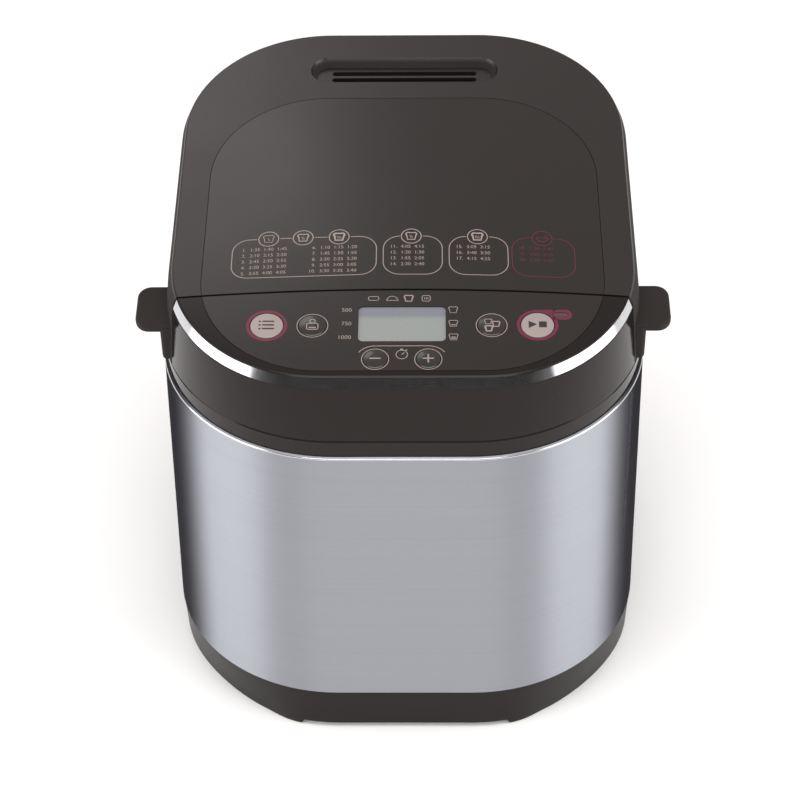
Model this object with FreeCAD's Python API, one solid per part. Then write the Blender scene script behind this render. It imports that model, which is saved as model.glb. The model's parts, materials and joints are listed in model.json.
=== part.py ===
import FreeCAD, Part
import math
import os
from FreeCAD import Placement, Rotation, Vector

# Bread machine: a brushed steel jacket on a moulded base, under a moulded head with a sloping top.
# Millimetres, +Z up. The control panel faces -Y. The origin is under the middle of the machine,
# on the surface that it stands on.

# Steel jacket: a sleeve with large round corners, wider at its foot
JACKET_WIDTH = 250.0
JACKET_DEPTH = 266.2
JACKET_RADIUS = 91.8
JACKET_FLARE = 3.3
JACKET_BOTTOM = 30.0
JACKET_TOP = 200.8
JACKET_SHEET = 0.8
JACKET_ROLL = 1.2
JACKET_SEAM = 0.6

# Base tray and its corner feet
BASE_BOTTOM = 4.0
BASE_RADIUS = 110.0
BASE_INSET = 2.0
BASE_FLOOR = 3.0
BASE_LIP = 7.0
FOOT_INSET = 4.0
FOOT_WIDTH = 13.0
FOOT_CLEAR_X = 59.0
FOOT_CLEAR_Y = 70.0
BASE_POST = 5.5
BASE_SOFT = 1.6
SLOT_LENGTH = 42.0
SLOT_WIDTH = 4.0
SLOT_X = 30.0
SLOT_STEP = 9.0
SLOT_ROWS = 4
SLOT_FRONT_Y = -104.0
SLOT_REAR_Y = 84.0

# Bush for the mains cord, low in the base's rear wall
GLAND_Z = 17.0
GLAND_RADIUS = 6.5
GLAND_FLANGE = 8.5
GLAND_FLANGE_THICK = 1.6
GLAND_BORE = 3.8
GLAND_DEPTH = 5.0

# Moulded head: collar, control housing and lid share these outlines
COLLAR_TOP = 210.9
COLLAR_INSET = 1.0
COLLAR_WALL = 3.0
COLLAR_DECK = 2.6
COLLAR_TONGUE = 6.0
WIRE_HOLE = (60.0, 14.0)
WIRE_HOLE_Y = -96.0
HEAD_WIDTH = 237.2
HEAD_DEPTH = 253.6
HEAD_RADIUS = 78.4
TOP_MIDDLE = 264.4
TOP_SLOPE = 8.11
EDGE_RUN = 2.6
EDGE_DROP = 5.84
EDGE_SOFT = 0.6
WALL = 2.6
ROOF = 4.0

# Parting of the lid from the control housing: an arc in plan
LID_FRONT = -66.8
PARTING_RADIUS = 1200.0
PARTING_GAP = 1.2
LID_GAP = 0.8
REAR_SKIRT_RISE = 5.0

# Inset glossy sheet: one rounded rectangle over panel and lid, cut by the parting
GLOSS_WIDTH = 202.0
GLOSS_FRONT = -120.6
GLOSS_REAR = 72.7
GLOSS_RADIUS = 61.0
GLOSS_DEPTH = 1.6
GLOSS_GAP = 0.3

# Panel fittings, in the plane of the sloping top: x across, v up the slope
DISPLAY_WIDTH = 43.0
DISPLAY_HEIGHT = 23.2
DISPLAY_V = -91.0
DISPLAY_RADIUS = 2.5
DISPLAY_SUNK = 0.7
WINDOW_SHEET = 1.6
MODULE_LOW = -7.0
MODULE_EDGE = 1.0
LIGHT_X = 78.0
LIGHT_V = -85.4
LIGHT_LENGTH = 7.4
LIGHT_WIDTH = 2.6
KEY_ROW_V = -92.3
KEY_OUTER_X = 66.5
KEY_INNER_X = 44.0
KEY_TIMER_X = 12.9
KEY_TIMER_V = -114.3
KEY_RADIUS_LARGE = 8.1
KEY_RADIUS_MEDIUM = 7.0
KEY_RADIUS_SMALL = 6.0
KEY_PROUD = 0.7
KEY_CROWN = 0.35
KEY_GAP = 0.3
KEY_TRAVEL = 0.8
KEY_FLANGE = 1.2
KEY_STEM = 1.8
KEY_SLACK = 0.2
KEY_SEAT = 0.4
SWITCH_HALF = 3.0
SWITCH_CAN = 2.0
SWITCH_PLUNGER = 1.7
SWITCH_HEIGHT = 2.7
BOARD_TOP = -13.0
BOARD_SHEET = 1.6
BOARD_WIDTH = 156.0
BOARD_DEPTH = 42.4
BOARD_RADIUS = 20.0
BOARD_V = -96.8
BOARD_POST = 2.6

# Lid: lifting ears, vent and hinge
EAR_TIP_X = 135.4
EAR_FRONT_V = -74.4
EAR_LENGTH = 28.0
EAR_SUNK = 20.0
EAR_THICK = 5.0
EAR_CORNER = 7.0
EAR_SOFT = 1.5
EAR_ROOT = 8.0
WEB_LENGTH = 8.0
WEB_PROUD = 4.2
WEB_DROP = 32.0
WEB_SOFT = 2.0
VENT_V = 96.2
VENT_LENGTH = 102.0
VENT_WIDTH = 21.0
VENT_DEPTH = 5.0
VENT_TAPER = 3.4
SLIT_LENGTH = 78.0
SLIT_WIDTH = 2.0
SLIT_PITCH = 5.0
SLIT_BEVEL = 0.6
GRILLE_SHEET = 2.2
WELL_WALL = 2.5
HINGE_Y = 123.0
HINGE_Z = COLLAR_TOP + 15.0
HINGE_RADIUS = 6.5
HINGE_HALF = 36.0
HINGE_PIN = 2.5
LUG_GAP = 2.0
LUG_THICK = 6.0
LINER_RIM = COLLAR_TOP + 5.0
LINER_SHEET = 0.8
LINER_WIDTH = 200.0
LINER_DEPTH = 164.0
LINER_RADIUS = 46.0
LINER_Y = 22.0
LINER_DROP = 14.0
LINER_DRAFT = 5.0
LID_POST = 3.5
LID_SCREW_LENGTH = 11.0
STEAM_SLOT = (26.0, 3.0)
STEAM_SLOT_X = (-32.0, 0.0, 32.0)

# Baking chamber and heating element
CHAMBER_Y = 24.0
CHAMBER_WIDTH = 176.0
CHAMBER_DEPTH = 156.0
CHAMBER_RADIUS = 34.0
CHAMBER_FLOOR = 73.0
CHAMBER_SHEET = 1.0
CHAMBER_FLANGE = 8.0
CHAMBER_HOLE = 23.0
CHAMBER_SCREW_Y = 40.0
ELEMENT_Z = 100.0
ELEMENT_RADIUS = 3.3
ELEMENT_INSET = 9.0
ELEMENT_CORNER = 24.0
ELEMENT_LEG_X = 18.0
ELEMENT_BEND = 8.5
PROBE_X = 50.0
PROBE_Z = 128.0
PROBE_RADIUS = 2.5
PROBE_LENGTH = 18.0
PROBE_FLANGE = 6.0
PROBE_FLANGE_THICK = 1.2
BUSH_RADIUS = 6.0
BUSH_COLLAR = 7.5
BUSH_LENGTH = 7.0
LEG_REACH = 27.0
CLIP_HALF = 4.0
CLIP_WALL = 1.0
SPRING_SHEET = 0.8
SPRING_FOOT = 16.0
SPRING_HEIGHT = 10.0
SPRING_HALF = 8.0

# Bread pan, with its bail handle
PAN_BOTTOM = 90.0
PAN_TOP = 208.0
PAN_WIDTH = 136.0
PAN_DEPTH = 114.0
PAN_DRAFT = 5.0
PAN_RADIUS = 24.0
PAN_SHEET = 2.0
PAN_RIM = 3.5
PAN_RIM_HEIGHT = 2.6
PAN_FOOT_RADIUS = 52.0
PAN_HUB = 12.0
PAN_HUB_HEIGHT = 7.0
PAN_RIB = 4.0
PAN_RIB_Y = 26.0
PAN_BUSH = 7.0
PAN_BUSH_HALF = 5.0
PAN_SEAL = 8.0
PAN_FOOT_SHEET = 1.4
PAN_FOOT_INNER = 34.0
PAN_FOOT_GAP = 0.3
BAIL_Z = 198.0
BAIL_WIRE = 2.5
BAIL_X = 81.0
BAIL_REACH = 71.0
BAIL_CORNER = 28.0
BAIL_BEND = 5.0
BAIL_BOSS = 6.0

# Drive train on the chamber's upright axis
SHAFT_RADIUS = 4.0
RUNNING_FIT = 0.06
DOG_REACH = 14.0
WING_LENGTH = 42.0
WING_WIDTH = 9.0
PADDLE_REACH = 46.0
PADDLE_THICK = 6.0
PADDLE_GAP = 0.6
PADDLE_HUB = 9.5
PADDLE_HEIGHT = 24.0
SHAFT_TOP = 28.0
SHAFT_FLAT = 1.2
WASHER_RADIUS = 6.5
WING_LIFT = 3.6
WING_THICK = 6.0
COUPLING_HUB = 8.0
DOG_DISC = 20.0
DOG_POST = 4.0
DOG_HALF = 2.0
DOG_HEIGHT = 7.0
BEARING_RADIUS = 9.0
BEARING_FLANGE = 20.0
CHASSIS_BOTTOM = 50.0
CHASSIS_SHEET = 2.0
CHASSIS_SIZE = (184.0, 214.0)
CHASSIS_CORNER = 16.0
CHASSIS_Y = -8.0
CHASSIS_FLANGE = 9.0
CHASSIS_FLANGE_Y = (-96.0, 80.0)
BELT_WINDOW = (40.0, 46.0)
BELT_WINDOW_Y = -38.0
STANDOFF_RADIUS = 5.0
BELT_PITCH = 5.0
BELT_TEETH = 87
BELT_BOTTOM = 27.0
BELT_WIDTH = 9.0
BELT_LAND = 0.6
BELT_BACK = 0.9
BELT_TOOTH = 1.9
PULLEY_TEETH = 60
PINION_TEETH = 12
PULLEY_GAP = 0.3
PULLEY_SIDE = 0.5
PULLEY_HUB = 10.0
PULLEY_HOLE = 9.0
PULLEY_HOLE_CIRCLE = 26.0
NUT_RADIUS = 7.5
NUT_HEIGHT = 5.0
MOTOR_RADIUS = 29.0
MOTOR_BOTTOM = 54.0
MOTOR_TOP = 112.0
MOTOR_SHAFT = 3.0
MOTOR_BOSS = 11.0
MOTOR_BOSS_HEIGHT = 3.0
MOTOR_BELL = 24.0
MOTOR_BELL_HEIGHT = 12.0
MOTOR_EAR = 3.5
MOTOR_EARS = (80.0, 14.0)
MOTOR_SCREW_X = 34.0
MOTOR_HOLE = 12.0
BRACKET_SIZE = (84.0, 30.0)
FAN_HUB = 8.0
FAN_REACH = 25.0
FAN_HEIGHT = 8.0
FAN_BLADES = 8
FAN_PITCH = 35.0

# Power board, upright beside the motor
POWER_LEFT = 42.0
POWER_RIGHT = 88.0
POWER_LIFT = 8.0
POWER_HEIGHT = 80.0
POWER_HALF = 0.8

# Small screws: head radius, head height and shank radius
SCREW_HEAD = 3.2
SCREW_HEAD_HEIGHT = 2.2
SCREW_SHANK = 1.5

SLOPE = math.radians(TOP_SLOPE)
CHASSIS_TOP = CHASSIS_BOTTOM + CHASSIS_SHEET
BASE_POSTS = [(-78.0, -66.0), (78.0, -66.0), (-78.0, 84.0), (78.0, 84.0)]
STANDOFFS = [(-60.0, -20.0), (60.0, -20.0), (-60.0, 68.0), (60.0, 68.0)]
LID_SCREWS = [(-102.0, -44.0), (102.0, -44.0), (-100.0, 80.0), (100.0, 80.0)]
BOARD_POSTS = [(-72.0, -80.0), (72.0, -80.0), (-30.0, -113.0), (30.0, -113.0)]
KEYS = {
    "menu_button": (-KEY_OUTER_X, KEY_ROW_V, KEY_RADIUS_LARGE),
    "weight_button": (-KEY_INNER_X, KEY_ROW_V, KEY_RADIUS_MEDIUM),
    "minus_button": (-KEY_TIMER_X, KEY_TIMER_V, KEY_RADIUS_SMALL),
    "plus_button": (KEY_TIMER_X, KEY_TIMER_V, KEY_RADIUS_SMALL),
    "crust_button": (KEY_INNER_X, KEY_ROW_V, KEY_RADIUS_MEDIUM),
    "start_button": (KEY_OUTER_X, KEY_ROW_V, KEY_RADIUS_LARGE),
}


# Shapes that the pieces are made of


def polar(radius, degrees):
    """Point at a radius and an angle in plan."""
    angle = math.radians(degrees)
    return Vector(radius * math.cos(angle), radius * math.sin(angle), 0.0)


def outline(width, depth, radius, z=0.0, y=0.0):
    """Closed outline of a rectangle with round corners, centred on x = 0."""
    arcs = []
    for turn, (side, end) in enumerate(((1, 1), (-1, 1), (-1, -1), (1, -1))):
        centre = Vector(side * (width / 2 - radius), y + end * (depth / 2 - radius), z)
        arcs.append([centre + polar(radius, 90 * turn + step) for step in (0, 45, 90)])
    edges = []
    for turn, arc in enumerate(arcs):
        start_of_next = arcs[(turn + 1) % 4][0]
        edges.append(Part.Arc(*arc).toShape())
        if (start_of_next - arc[2]).Length > 1e-6:
            edges.append(Part.makeLine(arc[2], start_of_next))
    return Part.Wire(edges)


def loft(*outlines):
    """Solid through outlines, with straight walls from each to the next."""
    return Part.makeLoft(list(outlines), True, True)


def block(width, depth, radius, bottom, top, y=0.0):
    """Upright block with round corners."""
    return Part.Face(outline(width, depth, radius, bottom, y)).extrude(Vector(0, 0, top - bottom))


def box(x0, x1, y0, y1, z0, z1):
    """Box between two corners."""
    return Part.makeBox(x1 - x0, y1 - y0, z1 - z0, Vector(x0, y0, z0))


def cylinder(radius, bottom, top, x=0.0, y=0.0):
    """Upright cylinder."""
    return Part.makeCylinder(radius, top - bottom, Vector(x, y, bottom))


def tube(outer, inner, bottom, top, x=0.0, y=0.0):
    """Upright tube."""
    return cylinder(outer, bottom, top, x, y).cut(cylinder(inner, bottom, top, x, y))


def rod(radius, x0, x1, y, z):
    """Cylinder that lies along X."""
    return Part.makeCylinder(radius, x1 - x0, Vector(x0, y, z), Vector(1, 0, 0))


def turned(profile, x=0.0, y=0.0):
    """Solid turned about an upright axis from a profile of (radius, z) points."""
    points = [Vector(radius, 0, z) for radius, z in profile]
    face = Part.Face(Part.makePolygon(points + points[:1]))
    solid = face.revolve(Vector(0, 0, 0), Vector(0, 0, 1), 360)
    return solid.translated(Vector(x, y, 0))


def plate_across(profile, x0, x1):
    """Solid with a (y, z) profile, drawn out along X."""
    points = [Vector(x0, y, z) for y, z in profile]
    return Part.Face(Part.makePolygon(points + points[:1])).extrude(Vector(x1 - x0, 0, 0))


def mirrored(shape):
    """The same shape on the other side of the middle plane."""
    return shape.mirror(Vector(0, 0, 0), Vector(1, 0, 0))


def joined(first, *others):
    """One solid from pieces that meet."""
    return first.fuse(list(others)).removeSplitter()


def on_top(shape):
    """Carry a shape from the panel's own plane to the sloping top."""
    placed = shape.copy()
    top = Placement(Vector(0, 0, TOP_MIDDLE), Rotation(Vector(1, 0, 0), TOP_SLOPE))
    placed.Placement = top.multiply(placed.Placement)
    return placed


def screw(x, y, seat, tip):
    """Pan-head screw whose head sits at seat and whose shank ends at tip."""
    away = 1 if seat > tip else -1
    low, high = sorted((seat, seat + away * SCREW_HEAD_HEIGHT))
    head = cylinder(SCREW_HEAD, low, high, x, y)
    shank = cylinder(SCREW_SHANK, min(seat, tip), max(seat, tip), x, y)
    return joined(head, shank)


# Outlines that several pieces share


def jacket_outline(z, inset=0.0):
    """Outline of the jacket at a height, drawn in by an inset."""
    flare = JACKET_FLARE * (JACKET_TOP - z) / (JACKET_TOP - JACKET_BOTTOM)
    grow = 2 * (flare - inset)
    return outline(JACKET_WIDTH + grow, JACKET_DEPTH + grow, JACKET_RADIUS - inset, z)


def head_outline(inset, drop):
    """Outline of the head on a plane that lies under the sloping top by an upright drop."""
    width = HEAD_WIDTH - 2 * inset
    depth = (HEAD_DEPTH - 2 * inset) / math.cos(SLOPE)
    low = -drop * math.cos(SLOPE)
    return on_top(outline(width, depth, HEAD_RADIUS - inset, low, -drop * math.sin(SLOPE)))


def head_solid():
    """Outer form of the head: leaning walls, a narrow bevel and the sloping top."""
    bevel_low = EDGE_RUN * EDGE_SOFT / EDGE_DROP
    return loft(
        jacket_outline(COLLAR_TOP, COLLAR_INSET + EDGE_SOFT),
        jacket_outline(COLLAR_TOP + EDGE_SOFT, COLLAR_INSET),
        head_outline(0.0, EDGE_DROP + EDGE_SOFT),
        head_outline(bevel_low, EDGE_DROP - EDGE_SOFT),
        head_outline(EDGE_RUN - bevel_low, EDGE_SOFT),
        head_outline(EDGE_RUN + 0.2 * EDGE_SOFT, 0.2 * EDGE_SOFT),
        head_outline(EDGE_RUN + EDGE_SOFT, 0.0),
    )


def head_room(clear=0.0):
    """Space inside the head's walls, drawn in by a clearance."""
    return loft(
        jacket_outline(JACKET_TOP, COLLAR_INSET + WALL + clear),
        head_outline(EDGE_RUN + WALL + clear, ROOF + clear),
    )


def plan_region(edge_y, far_y):
    """Upright region between the parting arc, at edge_y on the middle, and a straight far side."""
    reach = JACKET_WIDTH
    sag = PARTING_RADIUS - math.sqrt(PARTING_RADIUS ** 2 - reach ** 2)
    corners = [Vector(x, y, 0) for x, y in (
        (-reach, edge_y - sag), (reach, edge_y - sag), (reach, far_y), (-reach, far_y))]
    arc = Part.Arc(corners[0], Vector(0, edge_y, 0), corners[1]).toShape()
    sides = [Part.makeLine(corners[k], corners[(k + 1) % 4]) for k in (1, 2, 3)]
    return Part.Face(Part.Wire([arc] + sides)).extrude(Vector(0, 0, 2 * TOP_MIDDLE))


def front_region(edge_y):
    """Everything in front of the parting arc."""
    return plan_region(edge_y, -JACKET_DEPTH)


def rear_region(edge_y):
    """Everything behind the parting arc."""
    return plan_region(edge_y, JACKET_DEPTH)


def gloss_block(inset, low, high):
    """The glossy sheet's outline on the sloping top, between two depths."""
    depth = (GLOSS_REAR - GLOSS_FRONT) / math.cos(SLOPE)
    middle = (GLOSS_REAR + GLOSS_FRONT) / 2 / math.cos(SLOPE)
    return on_top(block(GLOSS_WIDTH - 2 * inset, depth - 2 * inset, GLOSS_RADIUS - inset, low, high, middle))


def panel_openings(gap, low, high):
    """Cutters for the keys, the display and the status light."""
    cutters = [cylinder(radius + gap, low, high, x, v) for x, v, radius in KEYS.values()]
    cutters.append(block(DISPLAY_WIDTH, DISPLAY_HEIGHT, DISPLAY_RADIUS, low, high, DISPLAY_V))
    light = block(LIGHT_LENGTH, LIGHT_WIDTH, LIGHT_WIDTH / 2, low, high, LIGHT_V)
    cutters.append(light.translated(Vector(LIGHT_X, 0, 0)))
    return [on_top(cutter) for cutter in cutters]


# Outer casing


def steel_jacket():
    """Brushed sheet sleeve, rolled in at its top edge and butted at the back."""
    roll = JACKET_TOP - JACKET_ROLL

    def skin(inset):
        """Sleeve outline from foot to rolled edge."""
        return loft(
            jacket_outline(JACKET_BOTTOM, inset),
            jacket_outline(roll, inset),
            jacket_outline(JACKET_TOP - 0.3 * JACKET_ROLL, inset + 0.3 * JACKET_ROLL),
            jacket_outline(JACKET_TOP, inset + JACKET_ROLL),
        )

    seam = box(-JACKET_SEAM / 2, JACKET_SEAM / 2, 0, JACKET_DEPTH, 0, COLLAR_TOP)
    return skin(0.0).cut(skin(JACKET_SHEET)).cut(seam)


def base_outline(z, inset):
    """Outline of the base: it draws in and its corners round off towards the bottom."""
    fall = (JACKET_BOTTOM - z) / (JACKET_BOTTOM - BASE_BOTTOM)
    half = JACKET_FLARE - JACKET_SHEET / 2 - BASE_INSET * fall - inset
    radius = JACKET_RADIUS + (BASE_RADIUS - JACKET_RADIUS) * fall - inset
    return outline(JACKET_WIDTH + 2 * half, JACKET_DEPTH + 2 * half, radius, z)


def vent_slots(bottom, top):
    """Cooling slots in the floor of the base."""
    slot = block(SLOT_LENGTH, SLOT_WIDTH, SLOT_WIDTH / 2, bottom, top)
    rows = [first + SLOT_STEP * row for first in (SLOT_FRONT_Y, SLOT_REAR_Y) for row in range(SLOT_ROWS)]
    return [slot.translated(Vector(side * SLOT_X, y, 0)) for y in rows for side in (-1, 1)]


def base_tray():
    """Moulded base with floor, cooling slots, a lip inside the jacket and posts for the chassis."""
    soft = BASE_SOFT
    floor = BASE_BOTTOM + BASE_FLOOR
    body = loft(
        base_outline(BASE_BOTTOM, soft),
        base_outline(BASE_BOTTOM + 0.3 * soft, 0.3 * soft),
        base_outline(BASE_BOTTOM + soft, 0.0),
        base_outline(JACKET_BOTTOM, 0.0),
    )
    room = loft(base_outline(floor, WALL), base_outline(JACKET_BOTTOM, WALL))
    lip_low = JACKET_BOTTOM - BASE_LIP
    lip_high = JACKET_BOTTOM + BASE_LIP
    lip = loft(jacket_outline(lip_low, WALL), jacket_outline(lip_high, WALL))
    lip = lip.cut(loft(jacket_outline(lip_low, 2 * WALL), jacket_outline(lip_high, 2 * WALL)))
    posts = [cylinder(BASE_POST, BASE_BOTTOM + 1.0, CHASSIS_BOTTOM, x, y) for x, y in BASE_POSTS]
    tray = joined(body.cut(room), lip, *posts)
    cutters = vent_slots(BASE_BOTTOM - 1.0, floor + 1.0)
    for x, y in BASE_POSTS:
        cutters.append(cylinder(SCREW_HEAD + 0.6, 0.0, BASE_BOTTOM + SCREW_HEAD_HEIGHT, x, y))
        cutters.append(cylinder(SCREW_SHANK, 0.0, CHASSIS_BOTTOM, x, y))
    cutters.append(gland_body(0.0))
    return tray.cut(cutters)


def rubber_feet():
    """Four feet that follow the base's corners."""
    ring = loft(base_outline(0.0, FOOT_INSET + 0.5), base_outline(BASE_BOTTOM, FOOT_INSET))
    inner = FOOT_INSET + FOOT_WIDTH
    ring = ring.cut(loft(base_outline(0.0, inner), base_outline(BASE_BOTTOM, inner)))
    corner = box(FOOT_CLEAR_X, JACKET_WIDTH, FOOT_CLEAR_Y, JACKET_DEPTH, 0, BASE_BOTTOM)
    corners = [corner.mirror(Vector(), Vector(0, 1, 0)), corner]
    feet = [ring.common(piece) for piece in corners + [mirrored(piece) for piece in corners]]
    return Part.makeCompound([solid for foot in feet for solid in foot.Solids])


def gland_body(bore):
    """Flanged bush in the rear wall of the base, with a bore for a cord."""
    middle = Vector(0, JACKET_DEPTH / 2 - GLAND_DEPTH, GLAND_Z)
    rear = JACKET_DEPTH / 2 + JACKET_FLARE - 0.2
    seat = rear - GLAND_FLANGE_THICK
    body = Part.makeCylinder(GLAND_RADIUS, seat - middle.y, middle, Vector(0, 1, 0))
    flange = Part.makeCylinder(GLAND_FLANGE, GLAND_FLANGE_THICK, Vector(0, seat, middle.z), Vector(0, 1, 0))
    gland = joined(body, flange)
    if bore:
        gland = gland.cut(Part.makeCylinder(bore, JACKET_DEPTH, middle, Vector(0, 1, 0)))
    return gland


def cord_gland():
    """Bush for the mains cord."""
    return gland_body(GLAND_BORE)


def top_collar():
    """Ring on the jacket with a deck that carries the chamber and the control housing."""
    inner = COLLAR_INSET + COLLAR_WALL
    body = loft(
        jacket_outline(JACKET_TOP, COLLAR_INSET + 0.4),
        jacket_outline(COLLAR_TOP - EDGE_SOFT, COLLAR_INSET),
        jacket_outline(COLLAR_TOP, COLLAR_INSET + EDGE_SOFT),
    )
    tongue_low = JACKET_TOP - COLLAR_TONGUE
    tongue_inset = JACKET_SHEET + JACKET_ROLL + 0.2
    tongue = loft(jacket_outline(tongue_low, tongue_inset), jacket_outline(JACKET_TOP, tongue_inset))
    hollow = loft(jacket_outline(tongue_low, inner), jacket_outline(COLLAR_TOP - COLLAR_DECK, inner))
    margin = 2 * CHAMBER_SHEET + 2.0
    mouth = block(CHAMBER_WIDTH + margin, CHAMBER_DEPTH + margin, CHAMBER_RADIUS + margin / 2,
                  JACKET_TOP, COLLAR_TOP, CHAMBER_Y)
    wire_hole = block(*WIRE_HOLE, WIRE_HOLE[1] / 2, JACKET_TOP, COLLAR_TOP, WIRE_HOLE_Y)
    return joined(body, tongue).cut([hollow, mouth, wire_hole] + chamber_screw_holes())


# Control housing and panel


def control_housing():
    """Front part of the head, with a recess for the glossy sheet and posts for the board."""
    edge = LID_FRONT - PARTING_GAP
    room = head_room().common(front_region(edge - WALL))
    shell = head_solid().common(front_region(edge)).cut(room)
    posts = [on_top(cylinder(BOARD_POST, BOARD_TOP, -ROOF + 0.5, x, v)) for x, v in BOARD_POSTS]
    recess = gloss_block(0.0, -GLOSS_DEPTH, 2.0).common(front_region(edge + 1.0))
    return joined(shell, *posts).cut([recess] + panel_openings(KEY_GAP, -ROOF - 2.0, 2.0))


def panel_overlay():
    """Glossy printed sheet on the panel, open at the keys, the display and the light."""
    sheet = gloss_block(GLOSS_GAP, -GLOSS_DEPTH, 0.0)
    sheet = sheet.common(front_region(LID_FRONT - PARTING_GAP))
    return sheet.cut(panel_openings(KEY_GAP, -ROOF, 2.0))


def display_window():
    """Clear window over the display, a little below the sheet's face."""
    low = -DISPLAY_SUNK - WINDOW_SHEET
    return on_top(block(DISPLAY_WIDTH, DISPLAY_HEIGHT, DISPLAY_RADIUS, low, -DISPLAY_SUNK, DISPLAY_V))


def display_module():
    """Display glass on its carrier, under the window."""
    glass = block(DISPLAY_WIDTH + 6.0, DISPLAY_HEIGHT + 4.0, MODULE_EDGE, MODULE_LOW, -ROOF - 0.2, DISPLAY_V)
    carrier = block(DISPLAY_WIDTH - 4.0, DISPLAY_HEIGHT - 2.0, MODULE_EDGE, BOARD_TOP, MODULE_LOW, DISPLAY_V)
    return on_top(joined(glass, carrier))


def status_light():
    """Clear light guide that ends flush with the sheet."""
    guide = block(LIGHT_LENGTH, LIGHT_WIDTH, LIGHT_WIDTH / 2, BOARD_TOP, -0.1, LIGHT_V)
    return on_top(guide.translated(Vector(LIGHT_X, 0, 0)))


def control_board():
    """Circuit board under the panel."""
    low = BOARD_TOP - BOARD_SHEET
    return on_top(block(BOARD_WIDTH, BOARD_DEPTH, BOARD_RADIUS, low, BOARD_TOP, BOARD_V))


def key_switches():
    """A push switch under each key."""
    switches = []
    for x, v, _ in KEYS.values():
        can = box(x - SWITCH_HALF, x + SWITCH_HALF, v - SWITCH_HALF, v + SWITCH_HALF,
                  BOARD_TOP, BOARD_TOP + SWITCH_CAN)
        plunger = cylinder(SWITCH_PLUNGER, BOARD_TOP + SWITCH_CAN, BOARD_TOP + SWITCH_HEIGHT, x, v)
        switches.append(on_top(joined(can, plunger)))
    return Part.makeCompound(switches)


def key(x, v, radius):
    """Domed key cap with a retaining flange and a stem that stops short of its switch."""
    flange_top = -ROOF - KEY_SEAT
    flange_low = flange_top - KEY_FLANGE
    stem_low = BOARD_TOP + SWITCH_HEIGHT + KEY_TRAVEL + KEY_SLACK
    edge = KEY_PROUD - KEY_CROWN
    cap = turned([
        (0.0, stem_low), (KEY_STEM, stem_low), (KEY_STEM, flange_low), (radius + KEY_FLANGE, flange_low),
        (radius + KEY_FLANGE, flange_top), (radius, flange_top), (radius, edge - 0.5),
        (radius - 0.15, edge - 0.15), (radius - 0.5, edge), (0.5 * radius, KEY_PROUD - 0.25 * KEY_CROWN),
        (0.0, KEY_PROUD)], x, v)
    return on_top(cap)


# Lid


def lifting_ear():
    """Right-hand lifting ear: a flat tongue with round corners and a short web under its root."""
    root = HEAD_WIDTH / 2 - EAR_ROOT
    low = -EAR_SUNK - EAR_THICK
    tongue = block(2 * EAR_TIP_X, EAR_LENGTH, EAR_CORNER, low, -EAR_SUNK, EAR_FRONT_V + EAR_LENGTH / 2)
    soft = [edge for edge in tongue.Edges if abs(edge.BoundBox.ZLength) < 1e-6]
    tongue = tongue.makeFillet(EAR_SOFT, soft)
    tongue = on_top(tongue.common(box(root, EAR_TIP_X, -200, 200, low, 0)))
    web_rear = LID_FRONT + 4.0
    web = box(root, HEAD_WIDTH / 2 + WEB_PROUD, web_rear - WEB_LENGTH, web_rear,
              COLLAR_TOP + LID_GAP + 1.0, TOP_MIDDLE - WEB_DROP)
    outer = [edge for edge in web.Edges if edge.BoundBox.XMin > root + 1.0]
    return joined(tongue, web.makeFillet(WEB_SOFT, outer))


def hinge_lug():
    """Right-hand lug of the lid that turns on a hinge pin."""
    x0 = HINGE_HALF + LUG_GAP
    x1 = x0 + LUG_THICK
    eye = rod(HINGE_RADIUS + 0.5, x0, x1, HINGE_Y, HINGE_Z)
    arm = box(x0, x1, HINGE_Y - HINGE_RADIUS - 0.5, HINGE_Y + HINGE_RADIUS + 0.5, HINGE_Z, 2 * HINGE_Z)
    return joined(eye, arm).common(head_solid())


def vent_racetrack(grow, low, high):
    """Racetrack block on the sloping top round the vent."""
    width = VENT_WIDTH + 2 * grow
    return on_top(block(VENT_LENGTH + 2 * grow, width, width / 2, low, high, VENT_V))


def vent_recess():
    """Tapered recess that leads down to the vent grille."""
    mouth = outline(VENT_LENGTH + 0.6, VENT_WIDTH + 0.6, VENT_WIDTH / 2 + 0.3, 0.5, VENT_V)
    width = VENT_WIDTH - 2 * VENT_TAPER
    foot = outline(VENT_LENGTH - 2 * VENT_TAPER, width, width / 2, -VENT_DEPTH, VENT_V)
    return on_top(loft(mouth, foot))


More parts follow.
